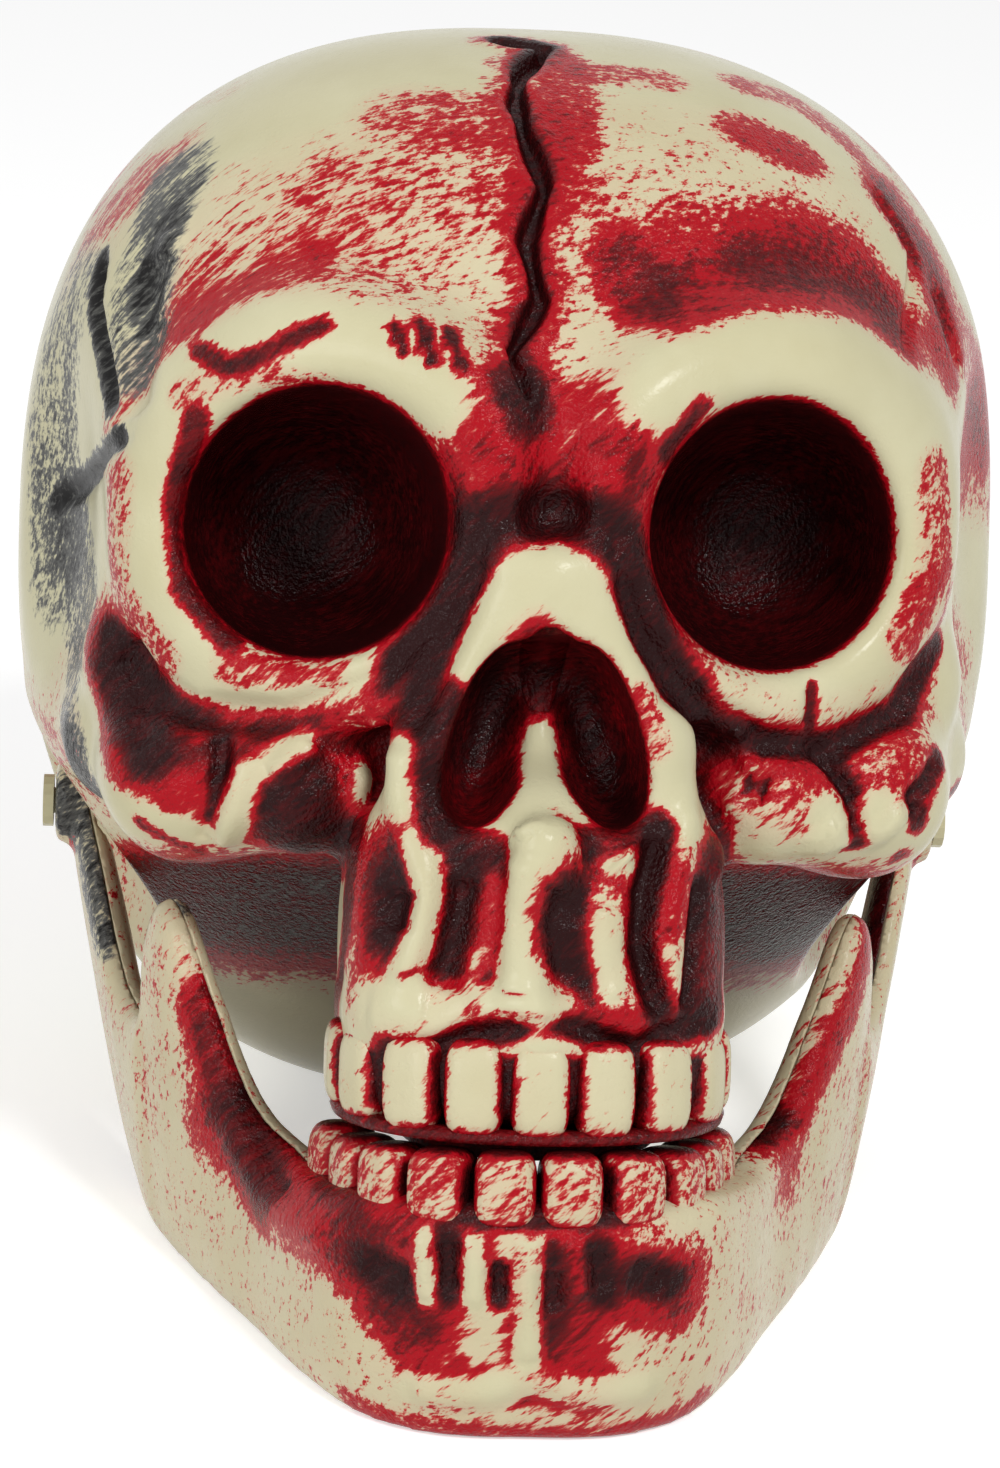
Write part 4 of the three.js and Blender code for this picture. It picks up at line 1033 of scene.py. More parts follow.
def smoothed(p, pairs, rounds):
    """Points drawn towards the mean of their neighbours, round after round."""
    count = len(p)
    valence = np.bincount(pairs.ravel(), minlength=count)[:, None]
    for _ in range(rounds):
        mean = np.empty_like(p)
        for axis in range(3):
            total = np.bincount(pairs[:, 0], weights=p[pairs[:, 1], axis], minlength=count)
            total += np.bincount(pairs[:, 1], weights=p[pairs[:, 0], axis], minlength=count)
            mean[:, axis] = total
        p = KEEP * p + (1.0 - KEEP) * mean / np.maximum(valence, 1)
    return p


def hollowness(target, rounds):
    """How far each point lies below its smoothed surroundings, in millimetres."""
    p = mesh_points(target)
    pairs = np.empty(len(target.data.edges) * 2, int)
    target.data.edges.foreach_get("vertices", pairs)
    return ((smoothed(p, pairs.reshape(-1, 2), rounds) - p) * mesh_normals(target)).sum(-1)


def hollow_ink(target, rules):
    """Ink left in fine and in broad hollows: rounds of smoothing, depth in mm at full ink, the ink."""
    fine, broad = (most * eased(hollowness(target, rounds) / depth) for rounds, depth, most in rules)
    return np.maximum(fine, broad)


HEAD_HOLLOWS, JAW_HOLLOWS = [(8, 0.35, 0.85), (60, 1.1, 0.62)], [(8, 0.3, 0.8), (50, 0.9, 0.5)]
print("hollows hold up to", HEAD_HOLLOWS[0][2], "ink on the head and", JAW_HOLLOWS[0][2], "on the jaw")

# %% [markdown]
# The brush and the rag left marks that follow no rule, so they are named one by one, as the relief
# was: first the paint, then where the rag took it off, then fine lines over the wiped ridges, and the
# grey-black of the left temple, which is partly black paint and partly painted shade where the head
# turns away from the light. The sides and the back aren't in the photograph. They get wiped
# strokes at random, from a seed, so that they are the same each time.

# %% Paint on the head: name, ink, half width in mm, picture points
HEAD_PAINT = [
    ("crack core", 0.97, 2.6, CRACK),
    ("crack edges", 0.36, 5.0, CRACK),
    ("end of the crack", 0.80, 4.0, [(516, 385), (528, 415)]),
    ("wiped film left of the crack", 0.21, 16.0, [(250, 240), (430, 190)]),
    ("wiped film over the left brow", 0.17, 10.0, [(180, 320), (330, 290), (480, 330)]),
    ("wiped film right of the crack", 0.18, 15.0, [(640, 160), (800, 210)]),
    ("pink of the left temple", 0.30, 7.0, [(120, 440), (135, 380), (180, 330)]),
    ("blotch beside the crack", 0.62, 5.5, [(625, 262), (645, 300)]),
    ("red over the right brow", 0.58, 8.0, [(690, 305), (740, 285), (800, 295), (880, 318)]),
    ("red edge over the right brow", 0.45, 6.5, [(770, 262), (850, 268), (905, 335)]),
    ("haze over the right brow", 0.30, 6.0, [(660, 245), (800, 225)]),
    ("high right blotch", 0.46, 4.6, [(745, 130), (800, 155)]),
    ("high right edge", 0.42, 4.5, [(745, 85), (800, 105), (850, 145)]),
    ("top left haze", 0.30, 6.5, [(400, 110), (475, 120)]),
    ("top right of the crack", 0.42, 4.0, [(560, 60), (575, 140)]),
    ("top haze", 0.38, 3.6, [(590, 72), (665, 80)]),
    ("streaks left of the crack", 0.16, 8.0, [(320, 205), (480, 185)]),
    ("streaks over the left brow", 0.2, 6.0, [(205, 345), (295, 265)]),
    ("streaks right of the crack", 0.2, 7.0, [(570, 200), (560, 300), (600, 390)]),
    ("strokes of the right temple", 0.52, 5.5, [(885, 195), (930, 270), (948, 370)]),
    ("right side of the head", 0.42, 7.0, [(930, 180), (975, 320), (985, 430)]),
    ("between the brows", 0.42, 6.5, [(470, 400), (540, 440), (600, 420)]),
    ("under the brows", 0.50, 6.0, [(480, 480), (545, 500), (610, 480)]),
    ("root of the nose", 0.96, 4.4, [(470, 527), (507, 517), (559, 514), (600, 524)]),
    ("left of the nose", 0.93, 4.2, [(478, 547), (455, 609), (429, 687), (415, 725)]),
    ("right of the nose", 0.93, 4.0, [(622, 547), (636, 606), (670, 680), (714, 735)]),
    ("left leg of the nose", 0.72, 5.0, [(520, 640), (480, 720), (440, 800)]),
    ("right leg of the nose", 0.66, 4.6, [(555, 645), (598, 730), (635, 800)]),
    ("inner rim of the left socket", 0.50, 3.4, [(420, 420), (448, 480), (452, 560), (420, 630)]),
    ("inner rim of the right socket", 0.55, 3.8, [(700, 400), (655, 450), (640, 520), (655, 590)]),
    ("groove under the left rim", 0.97, 2.6,
     [(112, 633), (143, 685), (191, 717), (287, 717), (383, 676), (441, 620)]),
    ("red under the left rim", 0.50, 6.0, [(100, 640), (160, 730), (260, 730), (400, 690)]),
    ("groove under the right rim", 0.95, 2.2,
     [(640, 600), (655, 650), (706, 706), (763, 742), (832, 752), (899, 715), (935, 645)]),
    ("red over the right rim", 0.40, 5.5, [(650, 610), (700, 690), (800, 730), (905, 690), (940, 600)]),
    ("hollow of the left cheek", 0.93, 4.4, [(118, 662), (135, 710), (150, 750)]),
    ("red of the left cheek", 0.55, 6.5, [(105, 735), (160, 775), (215, 780)]),
    ("groove of the left cheek", 0.90, 1.9, [(222, 735), (220, 775), (208, 842)]),
    ("side hollow of the left jaw", 0.97, 8.0, [(292, 790), (300, 830)]),
    ("behind the left cheek", 0.92, 6.0, [(60, 770), (100, 860)]),
    ("inner groove of the right cheek", 0.92, 2.2, [(820, 745), (852, 798), (855, 840)]),
    ("outer groove of the right cheek", 0.85, 2.0, [(938, 759), (912, 798), (918, 822)]),
    ("red of the right cheek", 0.42, 8.0, [(720, 770), (800, 780), (900, 760)]),
    ("oval hollow left", 0.97, 3.4, [(394, 885), (388, 930)]),
    ("round the oval hollow", 0.55, 5.4, [(392, 870), (386, 945)]),
    ("root groove left", 0.95, 3.0, [(465, 870), (452, 935), (440, 985)]),
    ("root hollow right", 0.96, 3.4, [(566, 895), (559, 925), (570, 985)]),
    ("curved root groove right", 0.95, 2.4, [(658, 835), (644, 894), (640, 950), (656, 1010)]),
    ("red of the upper jaw", 0.52, 9.0, [(400, 880), (500, 900), (640, 900)]),
    ("red over the teeth", 0.42, 5.0, [(360, 990), (640, 990)]),
    ("left side of the upper jaw", 0.80, 4.0, [(350, 840), (345, 930), (335, 1000)]),
    ("right side of the upper jaw", 0.80, 5.0, [(722, 860), (718, 940), (712, 1000)]),
    ("gum line above", 0.50, 3.2, [(392, 1040), (466, 1026), (574, 1018), (633, 1036), (707, 1010)]),
]
HEAD_WIPED = [
    ("ridge of the nose", 0.92, 3.4, [(525, 578), (485, 625), (458, 690)]),
    ("left wing of the upper jaw", 0.9, 2.6, [(398, 750), (404, 800)]),
    ("right ridge of the nose", 0.85, 2.5, [(565, 580), (612, 645), (648, 720), (660, 785)]),
    ("middle wall of the nose", 0.9, 1.6, [(540, 705), (540, 775)]),
    ("ball under the nose", 0.95, 4.2, [(527, 812), (527, 842)]),
    ("middle ridge", 0.85, 2.4, [(520, 870), (512, 985)]),
    ("left tooth ridge", 0.85, 2.6, [(418, 840), (428, 890), (420, 935), (400, 990)]),
    ("right tooth ridge", 0.7, 2.4, [(606, 905), (614, 990)]),
    ("lump beside the nose", 0.9, 2.8, [(618, 850), (619, 858)]),
    ("gum over the left teeth", 0.75, 4.0, [(370, 1005), (440, 1008)]),
    ("gum over the middle teeth", 0.7, 3.0, [(500, 1000), (560, 1000)]),
    ("left rim", 0.92, 5.2, [(140, 420), (112, 520), (150, 630), (230, 685), (340, 672)]),
    ("left brow", 0.92, 5.5, [(170, 385), (260, 330), (370, 345), (430, 400)]),
    ("right brow", 0.90, 5.0, [(660, 395), (760, 345), (860, 350), (920, 400)]),
    ("right rim", 0.60, 4.0, [(940, 450), (945, 560), (900, 670), (820, 700), (740, 690)]),
    ("outer ridge of the left cheek", 0.85, 3.0, [(81, 676), (96, 762), (144, 820), (206, 839)]),
    ("ridge of the left cheek", 0.85, 2.2, [(230, 835), (249, 775), (300, 740)]),
    ("inner lump of the right cheek", 0.85, 3.2, [(827, 815), (831, 850)]),
    ("outer lump of the right cheek", 0.85, 3.2, [(880, 812), (892, 832)]),
]
HEAD_LINES = [
    ("gum line", 0.92, 2.0,
     [(340, 1036), (392, 1050), (429, 1052), (466, 1036), (507, 1030),
      (574, 1028), (633, 1048), (662, 1036), (707, 1020)]),
    ("groove of the left brow", 0.80, 1.5, [(196, 349), (230, 367), (266, 352), (322, 326)]),
    ("first hatch of the brow", 0.90, 1.1, [(394, 325), (404, 352)]),
    ("second hatch of the brow", 0.90, 1.2, [(420, 322), (432, 360)]),
    ("third hatch of the brow", 0.90, 1.1, [(448, 330), (462, 366)]),
    ("seam of the left cheek", 0.70, 1.2, [(139, 822), (201, 851), (262, 866)]),
    ("seam of the right cheek", 0.72, 1.4, [(756, 888), (812, 878), (899, 855), (958, 785)]),
    ("side groove right", 0.85, 1.6, [(698, 883), (685, 1013)]),
    ("left flank of the nose", 0.90, 3.2, [(448, 700), (435, 765), (440, 826)]),
    ("left floor of the nose", 0.80, 2.4, [(458, 838), (492, 850)]),
    ("right floor of the nose", 0.72, 2.8, [(592, 842), (652, 826)]),
    ("flecks on the right ridge of the nose", 0.40, 2.6, [(640, 700), (655, 745)]),
    ("jagged edge of the left socket", 0.85, 2.2, [(196, 420), (178, 500), (186, 590), (230, 640)]),
    ("flecks left of the left socket", 0.36, 4.0, [(118, 480), (118, 590), (160, 655)]),
    ("flecks under the left socket", 0.34, 3.0, [(230, 668), (330, 662)]),
    ("flecks of the right rim", 0.42, 3.6, [(935, 470), (938, 570), (905, 640)]),
    ("flecks over the left socket", 0.34, 2.4, [(180, 395), (250, 372), (330, 385)]),
    ("dark lip of the right socket", 0.75, 1.8, [(700, 408), (668, 450), (655, 520)]),
    ("notch of the right rim", 0.8, 0.9, [(812, 686), (809, 728)]),
    ("left slit of the teeth", 0.8, 0.9, [(352, 1040), (348, 1085)]),
]
# Grey-black of the left temple and the side of the head: partly black paint, partly painted shade.
HEAD_GREY = [
    ("shade of the left temple", 0.50, 8.0, [(175, 180), (150, 290), (140, 350)]),
    ("dark of the left temple", 0.5, 3.5, [(168, 220), (150, 310)]),
    ("side of the head", 0.42, 11.0, [(70, 300), (52, 440), (60, 560)]),
    ("line of the left temple", 0.85, 2.0, [(103, 260), (96, 308), (112, 408)]),
    ("slash of the left temple", 0.95, 2.0, [(60, 500), (96, 470), (124, 437)]),
    ("side of the left temple", 0.5, 8.0, [(75, 530), (90, 600), (80, 650)]),
    ("behind the left cheek", 0.8, 8.0, [(55, 760), (80, 880)]),
]


def covered_by(p, rows):
    """The share of the surface that a set of strokes covers at each point."""
    bare = np.ones(len(p))
    for ink, half, row in rows:
        chosen = near_box(p, row, half * 2.0)
        d, _ = distance_to_row(p[chosen], row)
        bare[chosen] *= 1.0 - ink * eased(1.5 - d / half)
    return 1.0 - bare


def brushed(p, target, strokes):
    return covered_by(p, placed(target, strokes))


RAG_HEART, RAG_AWAY, RAG_FACE_FREE = np.array([0.0, 0.0, 20.0]), 80.0, 0.95
RAG_LONG, RAG_INK, RAG_HALF = (7.0, 22.0), (0.12, 0.34), (4.0, 12.0)


def rag_strokes(target, count, seed):
    """Wiped strokes at random over the sides, the top and the back of the head."""
    chance = np.random.default_rng(seed)
    rows = []
    for _ in range(count):
        turn, rise = chance.uniform(RAG_FACE_FREE, math.tau - RAG_FACE_FREE), chance.uniform(-0.25, 1.35)
        out = np.array([math.sin(turn) * math.cos(rise), -math.cos(turn) * math.cos(rise), math.sin(rise)])
        along = np.cross(out, chance.normal(size=3))
        along *= chance.uniform(*RAG_LONG) / np.linalg.norm(along)
        middle = RAG_HEART + out * RAG_AWAY
        row = [target.closest_point_on_mesh(Vector(middle + along * share))[1][:] for share in (-1.0, 0.0, 1.0)]
        rows.append((chance.uniform(*RAG_INK), chance.uniform(*RAG_HALF), np.array(row)))
    return rows


def store(target, name, values):
    layer = target.data.attributes.new(name, "FLOAT", "POINT")
    layer.data.foreach_set("value", np.ascontiguousarray(values, np.float32))


WORN_Z, WORN_Y = (45.0, 5.0), (10.0, -20.0)
BEHIND_TEETH_Z, BEHIND_TEETH_Y = (-42.0, -44.0), (-30.0, -38.0)
# The faces that look down under the cheekbones take painted shade: dark red and some grey.
FACING_DOWN, ABOVE_BASE_Z = (-0.05, -0.5), (-44.0, -30.0)
UNDER_CHEEK_Z, UNDER_CHEEK_Y, UNDER_GREY_Y = (-14.0, -22.0), (30.0, -5.0), (-50.0, -30.0)
SHADE_UNDER_ARCH, GREY_SHADE_UNDER_ARCH = 0.9, 0.25
GUM_INK, POCKET_INK, INNER_DEPTH = 0.95, 0.50, 2.9


def socket_ink(p):
    """The bowls of the eyes and the nose are full of paint, the room round the hinge half full."""
    q = one_side(p)
    in_cup, in_nose = share_between(cup(q), 1.3, -0.2), share_between(nose_gap(q), 1.2, -0.4)
    return np.maximum(np.maximum(in_cup, in_nose), POCKET_INK * share_between(hinge_room(q), 4.0, -5.0))


def head_ink(target, whole):
    """Stores the ink and the grey of a part of the head. Its strokes are placed on the whole face."""
    p = mesh_points(target)
    _, y, z = p.T
    worn = share_between(z, *WORN_Z) * share_between(y, *WORN_Y) * hollow_ink(target, HEAD_HOLLOWS)
    behind_teeth = GUM_INK * share_between(z, *BEHIND_TEETH_Z) * share_between(y, *BEHIND_TEETH_Y)
    ink = 1.0 - (1.0 - brushed(p, whole, HEAD_PAINT)) * (1.0 - worn) * (1.0 - covered_by(p, RAG_ROWS))
    ink *= 1.0 - brushed(p, whole, HEAD_WIPED)
    ink = 1.0 - (1.0 - ink) * (1.0 - brushed(p, whole, HEAD_LINES))
    ink = np.maximum(np.maximum(ink, socket_ink(p)), behind_teeth)
    # Painted shade: faces under the cheekbones that look down are darkened towards maroon and grey.
    under = share_between(mesh_normals(target)[:, 2], *FACING_DOWN) * share_between(z, *UNDER_CHEEK_Z)
    shade_under_arch = under * share_between(z, *ABOVE_BASE_Z) * share_between(y, *UNDER_CHEEK_Y)
    ink = np.maximum(ink, SHADE_UNDER_ARCH * shade_under_arch)
    grey = np.maximum(brushed(p, whole, HEAD_GREY), GREY_SHADE_UNDER_ARCH * shade_under_arch * share_between(y, *UNDER_GREY_Y))
    inner = head_fine(p) < -INNER_DEPTH
    store(target, "ink", np.where(inner, 0.0, ink))
    store(target, "grey", np.where(inner, 0.0, grey))
    return float(ink.mean())


RAG_ROWS = rag_strokes(back_skin, 44, seed=5) + rag_strokes(face_skin, 36, seed=11)
for piece in (face_skin, back_skin):
    print(piece.name, "mean ink", round(head_ink(piece, face_skin), 3))

# %% [markdown]
# The jaw is painted by the same rules. The dents under the teeth and the gum behind them hold the
# most, and a thin film lies all over it, because the rag went over it only lightly.

# %% Ink on the jaw
JAW_PAINT = [
    ("left prong", 0.66, 5.0, [(212, 1005), (236, 1100), (262, 1195)]),
    ("left side", 0.48, 7.0, [(262, 1110), (330, 1230)]),
    ("under the left teeth", 0.55, 4.0, [(335, 1180), (400, 1225), (470, 1232)]),
    ("left triangle", 0.95, 3.0, [(366, 1262), (405, 1284)]),
    ("round the left triangle", 0.50, 6.0, [(362, 1262), (420, 1310)]),
    ("left root dent", 0.95, 2.0, [(447, 1236), (447, 1292)]),
    ("left middle dent", 0.95, 1.5, [(498, 1264), (499, 1300)]),
    ("right middle dent", 0.70, 2.6, [(549, 1262), (551, 1330)]),
    ("right root dent", 0.95, 2.4, [(598, 1250), (604, 1292)]),
    ("right triangle", 0.95, 3.0, [(634, 1274), (668, 1282)]),
    ("round the right dents", 0.52, 6.5, [(560, 1270), (670, 1290)]),
    ("smear down the left", 0.42, 5.0, [(392, 1310), (440, 1378)]),
    ("smear down the middle", 0.50, 5.0, [(555, 1310), (580, 1385)]),
    ("right side", 0.42, 6.0, [(700, 1170), (765, 1130)]),
    ("right prong", 0.45, 3.0, [(868, 930), (850, 1010), (800, 1110)]),
    ("lower edge", 0.40, 2.2, [(350, 1400), (430, 1428), (530, 1434), (640, 1428), (700, 1400)]),
    ("left end of the gum", 0.9, 3.0, [(300, 1090), (320, 1120)]),
    ("right end of the gum", 0.9, 3.0, [(735, 1110), (710, 1130)]),
]
JAW_WIPED = [
    ("ridge of the chin", 0.9, 1.6, [(531, 1232), (529, 1362)]),
    ("left arc", 0.7, 2.2, [(500, 1390), (410, 1390)]),
    ("right arc", 0.6, 2.2, [(560, 1390), (655, 1386)]),
    ("root bar left", 0.8, 1.4, [(423, 1235), (426, 1300)]),
    ("root bar middle", 0.8, 1.3, [(474, 1240), (474, 1305)]),
]
JAW_FILM, JAW_GUM_UP, JAW_GUM_Y, JAW_REACH = 0.18, (-5.5, -3.0), (-60.0, -66.0), 110.0
REAR_PAINT = [("right branch", 0.93, 10.0, [(884, 850), (866, 960), (838, 1060)])]
JAW_GREY = [("upper end of the left branch", 0.6, 5.0, [(62, 800), (100, 930)])]


def jaw_ink(target, paint, wiped):
    p = mesh_points(target)
    top = along_curve(top_curve, np.clip(0.5 + p[:, 0] / JAW_REACH, 0.0, 1.0))[:, 2]
    gum = GUM_INK * share_between(p[:, 2] - top, *JAW_GUM_UP) * share_between(p[:, 1], *JAW_GUM_Y)
    worn = hollow_ink(target, JAW_HOLLOWS)
    ink = 1.0 - (1.0 - brushed(p, target, paint)) * (1.0 - worn) * (1.0 - JAW_FILM)
    ink = np.maximum(ink * (1.0 - brushed(p, target, wiped)), gum)
    store(target, "ink", ink)
    store(target, "grey", brushed(p, target, JAW_GREY))
    return float(ink.mean())


print("jaw front mean ink", round(jaw_ink(jaw_front, JAW_PAINT, JAW_WIPED), 3))
print("jaw rear mean ink", round(jaw_ink(jaw_rear, REAR_PAINT, []), 3))

# %% [markdown]
# A tooth is wiped clean on its front, and paint stays at its sides, its two ends and its back. Each
# point's ink comes from where it lies on its own tooth. The upper teeth are cleaner than the lower.

# %% Ink on the teeth
UPPER_CLEAN, UPPER_FILM, LOWER_CLEAN, LOWER_FILM, LEDGE_SHADE = 0.72, 0.12, 0.86, 0.33, 0.8


def tooth_ink(target, teeth, edge, film):
    p = mesh_points(target).reshape(len(teeth), -1, 3)
    ink = np.zeros(p.shape[:2])
    for number, (centre, half, heading) in enumerate(teeth):
        d = p[number] - np.array(centre)
        c, s = math.cos(heading), math.sin(heading)
        across = np.abs(d[:, 0] * c + d[:, 1] * s) / half[0]
        front = (d[:, 0] * s - d[:, 1] * c) / half[1]
        up = d[:, 2] / half[2]
        side, ends = 0.9 * share_between(across, edge, 1.05), 0.7 * share_between(np.abs(up), 0.72, 1.02)
        behind = 2.0 * share_between(front, 0.2, -0.8)
        ink[number] = np.maximum(np.maximum(side, ends), behind)
    store(target, "ink", np.clip(ink.ravel() * 0.95 + film, 0.0, 1.0))
    store(target, "grey", np.zeros(ink.size))


tooth_ink(upper_teeth, upper, UPPER_CLEAN, UPPER_FILM)
tooth_ink(lower_teeth, lower, LOWER_CLEAN, LOWER_FILM)
# The ledge is dark all over: painted shade in the gap behind the teeth.
store(ledge, "ink", np.full(len(ledge.data.vertices), LEDGE_SHADE))
store(ledge, "grey", np.zeros(len(ledge.data.vertices)))
print("painted teeth:", len(upper) + len(lower), "and the ledge between them")

# %% [markdown]
# One recipe paints every shell. Noise drawn out into thin streaks, wide blotches and a fine grain are
# added to the ink, and the sum runs along a scale: bare cream, a pink film, red, maroon, nearly black.
# Where the ink is thin the streaks decide, so the edge of the paint is ragged as on the real one. An
# image could carry the same marks, but noise stays sharp close up and needs no unwrapping.

# %% The recipe of the paint
def from_srgb(r, g, b):
    linear = lambda v: v / 12.92 if v <= 0.04045 else ((v + 0.055) / 1.055) ** 2.4
    return (linear(r / 255.0), linear(g / 255.0), linear(b / 255.0), 1.0)


CREAM, OLD_CREAM = from_srgb(204, 199, 166), from_srgb(188, 181, 144)
PINK, FILM_RED = from_srgb(206, 128, 108), from_srgb(184, 62, 58)
WASH = from_srgb(206, 164, 142)
RED, DARK_RED = from_srgb(164, 13, 26), from_srgb(106, 9, 15)
MAROON, NEARLY_BLACK = from_srgb(72, 10, 13), from_srgb(38, 8, 9)
BLACK_PAINT_AND_SHADE, THIN_BLACK_PAINT_AND_SHADE = from_srgb(30, 29, 29), from_srgb(112, 112, 108)

PAINT_SCALE = [
    (0.27, PINK), (0.36, FILM_RED), (0.46, RED), (0.60, RED),
    (0.74, DARK_RED), (0.88, MAROON), (1.0, NEARLY_BLACK),
]
PAINT_EDGE, BLACK_AND_SHADE_SCALE, BLACK_AND_SHADE_EDGE = (0.26, 0.38), [(0.35, THIN_BLACK_PAINT_AND_SHADE), (0.85, BLACK_PAINT_AND_SHADE)], (0.28, 0.50)
WIPE_TURN, SECOND_WIPE_TURN, WIPE_LONG, SECOND_WIPE_LONG = -0.85, -0.35, 12.0, 14.0
WIPE_FINE, GRAIN_FINE, SPECK_FINE = 900.0, 1500.0, 2600.0
BLOTCH_WIDE, AGED_WIDE, PATCH_WIDE = 140.0, 45.0, 20.0
WIPE_SHARE, SECOND_WIPE_SHARE, BLOTCH_SHARE, SPECK_SHARE, WASH_SHARE = 0.30, 0.16, 0.12, 0.03, 0.75
GLOSS, ROUGH, BUMP, BUMP_HIGH = 0.10, 0.21, 0.35, 0.0002


class Recipe:
    """Adds nodes to a material and links them."""

    def __init__(self, name):
        self.material = bpy.data.materials.new(name)
        self.material.use_nodes = True
        self.tree = self.material.node_tree
        self.shader = self.tree.nodes["Principled BSDF"]
        self.place = self.add("ShaderNodeTexCoord").outputs["Object"]

    def add(self, kind, **settings):
        node = self.tree.nodes.new(kind)
        for key, value in settings.items():
            setattr(node, key, value)
        return node

    def feed(self, socket, value):
        if isinstance(value, bpy.types.NodeSocket):
            self.tree.links.new(value, socket)
        else:
            socket.default_value = value

    def math(self, operation, a, b=0.0, c=None, clamp=False):
        node = self.add("ShaderNodeMath", operation=operation, use_clamp=clamp)
        for socket, value in zip(node.inputs, (a, b, c)):
            if value is not None:
                self.feed(socket, value)
        return node.outputs[0]

    def noise(self, scale, detail=3.0, turn=0.0, stretch=1.0, roughness=0.6):
        """Noise from about -1 to 1, drawn out along a line turned in the front plane."""
        mapping = self.add("ShaderNodeMapping", vector_type="TEXTURE")
        mapping.inputs["Rotation"].default_value = (0.0, turn, 0.0)
        mapping.inputs["Scale"].default_value = (stretch, 1.0, 1.0)
        self.feed(mapping.inputs["Vector"], self.place)
        node = self.add("ShaderNodeTexNoise")
        node.inputs["Scale"].default_value = scale
        node.inputs["Detail"].default_value = detail
        node.inputs["Roughness"].default_value = roughness
        self.feed(node.inputs["Vector"], mapping.outputs[0])
        return self.math("MULTIPLY_ADD", node.outputs["Fac"], 5.0, -2.5)

    def scale(self, value, stops):
        ramp = self.add("ShaderNodeValToRGB")
        self.feed(ramp.inputs[0], value)
        while len(ramp.color_ramp.elements) < len(stops):
            ramp.color_ramp.elements.new(0.5)
        for element, (position, colour) in zip(ramp.color_ramp.elements, stops):
            element.position, element.color = position, colour
        return ramp.outputs["Color"]

    def mix(self, share, a, b):
        node = self.add("ShaderNodeMix", data_type="RGBA")
        self.feed(node.inputs[0], share)
        self.feed(node.inputs[6], a)
        self.feed(node.inputs[7], b)
        return node.outputs[2]

    def between(self, value, low, high):
        """0 where a value is below low, 1 above high, and even between."""
        node = self.add("ShaderNodeMapRange")
        node.inputs["From Min"].default_value, node.inputs["From Max"].default_value = low, high
        self.feed(node.inputs["Value"], value)
        return node.outputs[0]

    def stored(self, name):
        return self.add("ShaderNodeAttribute", attribute_type="GEOMETRY", attribute_name=name).outputs["Fac"]


def painted_plastic(name):
    r = Recipe(name)
    wipe = r.noise(WIPE_FINE, 3.0, turn=WIPE_TURN, stretch=WIPE_LONG, roughness=0.7)
    second_wipe = r.noise(GRAIN_FINE, 2.0, turn=SECOND_WIPE_TURN, stretch=SECOND_WIPE_LONG)
    blotch = r.noise(BLOTCH_WIDE, 5.0)
    ragged = r.math("MULTIPLY_ADD", wipe, WIPE_SHARE, r.math("MULTIPLY", second_wipe, SECOND_WIPE_SHARE))
    ragged = r.math("MULTIPLY_ADD", blotch, BLOTCH_SHARE, ragged)
    ragged = r.math("MULTIPLY_ADD", r.noise(SPECK_FINE, 2.0), SPECK_SHARE, ragged)

    ink = r.stored("ink")
    loose = r.math("MULTIPLY_ADD", ink, 2.2, 0.42, clamp=True)
    settled = r.math("MULTIPLY_ADD", ink, -0.78, 1.0)
    shaken = r.math("MULTIPLY", r.math("MULTIPLY", ragged, loose), settled)
    patchy = r.math("MULTIPLY_ADD", r.noise(PATCH_WIDE, 3.0), 0.10, -0.02)
    paint = r.math("ADD", r.math("ADD", shaken, ink), r.math("MAXIMUM", patchy, 0.0), clamp=True)

    aged = r.math("MULTIPLY_ADD", r.noise(AGED_WIDE, 3.0), 0.3, 0.4, clamp=True)
    bare = r.mix(aged, CREAM, OLD_CREAM)
    uneven = r.math("MULTIPLY_ADD", blotch, 0.25, 1.0)
    wash = r.math("MULTIPLY_ADD", uneven, r.math("MULTIPLY", ink, 1.5, clamp=True), -0.08, clamp=True)
    bare = r.mix(r.math("MULTIPLY", wash, WASH_SHARE), bare, WASH)
    painted = r.mix(r.between(paint, *PAINT_EDGE), bare, r.scale(paint, PAINT_SCALE))

    # The grey is black paint in grooves and recesses, and painted shade at the left temple and under the
    # cheekbones.
    grey = r.stored("grey")
    black_paint_and_shade = r.math("MULTIPLY_ADD", ragged, r.math("MULTIPLY", grey, 2.4, clamp=True), grey)
    colour = r.mix(r.between(black_paint_and_shade, *BLACK_AND_SHADE_EDGE), painted, r.scale(black_paint_and_shade, BLACK_AND_SHADE_SCALE))
    r.feed(r.shader.inputs["Base Color"], colour)

    r.shader.inputs["Specular IOR Level"].default_value = GLOSS
    rough = r.math("MULTIPLY_ADD", blotch, 0.03, ROUGH)
    r.feed(r.shader.inputs["Roughness"], r.math("MULTIPLY_ADD", paint, -0.06, rough))
    bump = r.add("ShaderNodeBump")
    bump.inputs["Strength"].default_value, bump.inputs["Distance"].default_value = BUMP, BUMP_HIGH
    height = r.math("MULTIPLY", r.noise(GRAIN_FINE, 2.0), r.math("MULTIPLY_ADD", paint, 1.5, 0.10))
    r.feed(bump.inputs["Height"], height)
    r.feed(r.shader.inputs["Normal"], bump.outputs[0])
    return r.material


bone_paint = painted_plastic("painted bone plastic")
for piece in (face_skin, back_skin, upper_teeth, ledge, jaw_front, jaw_rear, lower_teeth):
    piece.data.materials.clear()
    piece.data.materials.append(bone_paint)
print("nodes in the paint:", len(bone_paint.node_tree.nodes))

# %% [markdown]
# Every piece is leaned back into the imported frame, its faces are shaded smooth, and it rides on the
# body it belongs to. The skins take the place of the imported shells. The pins and their caps stay as
# packed: they carry no ink, so the recipe leaves them plain cream.

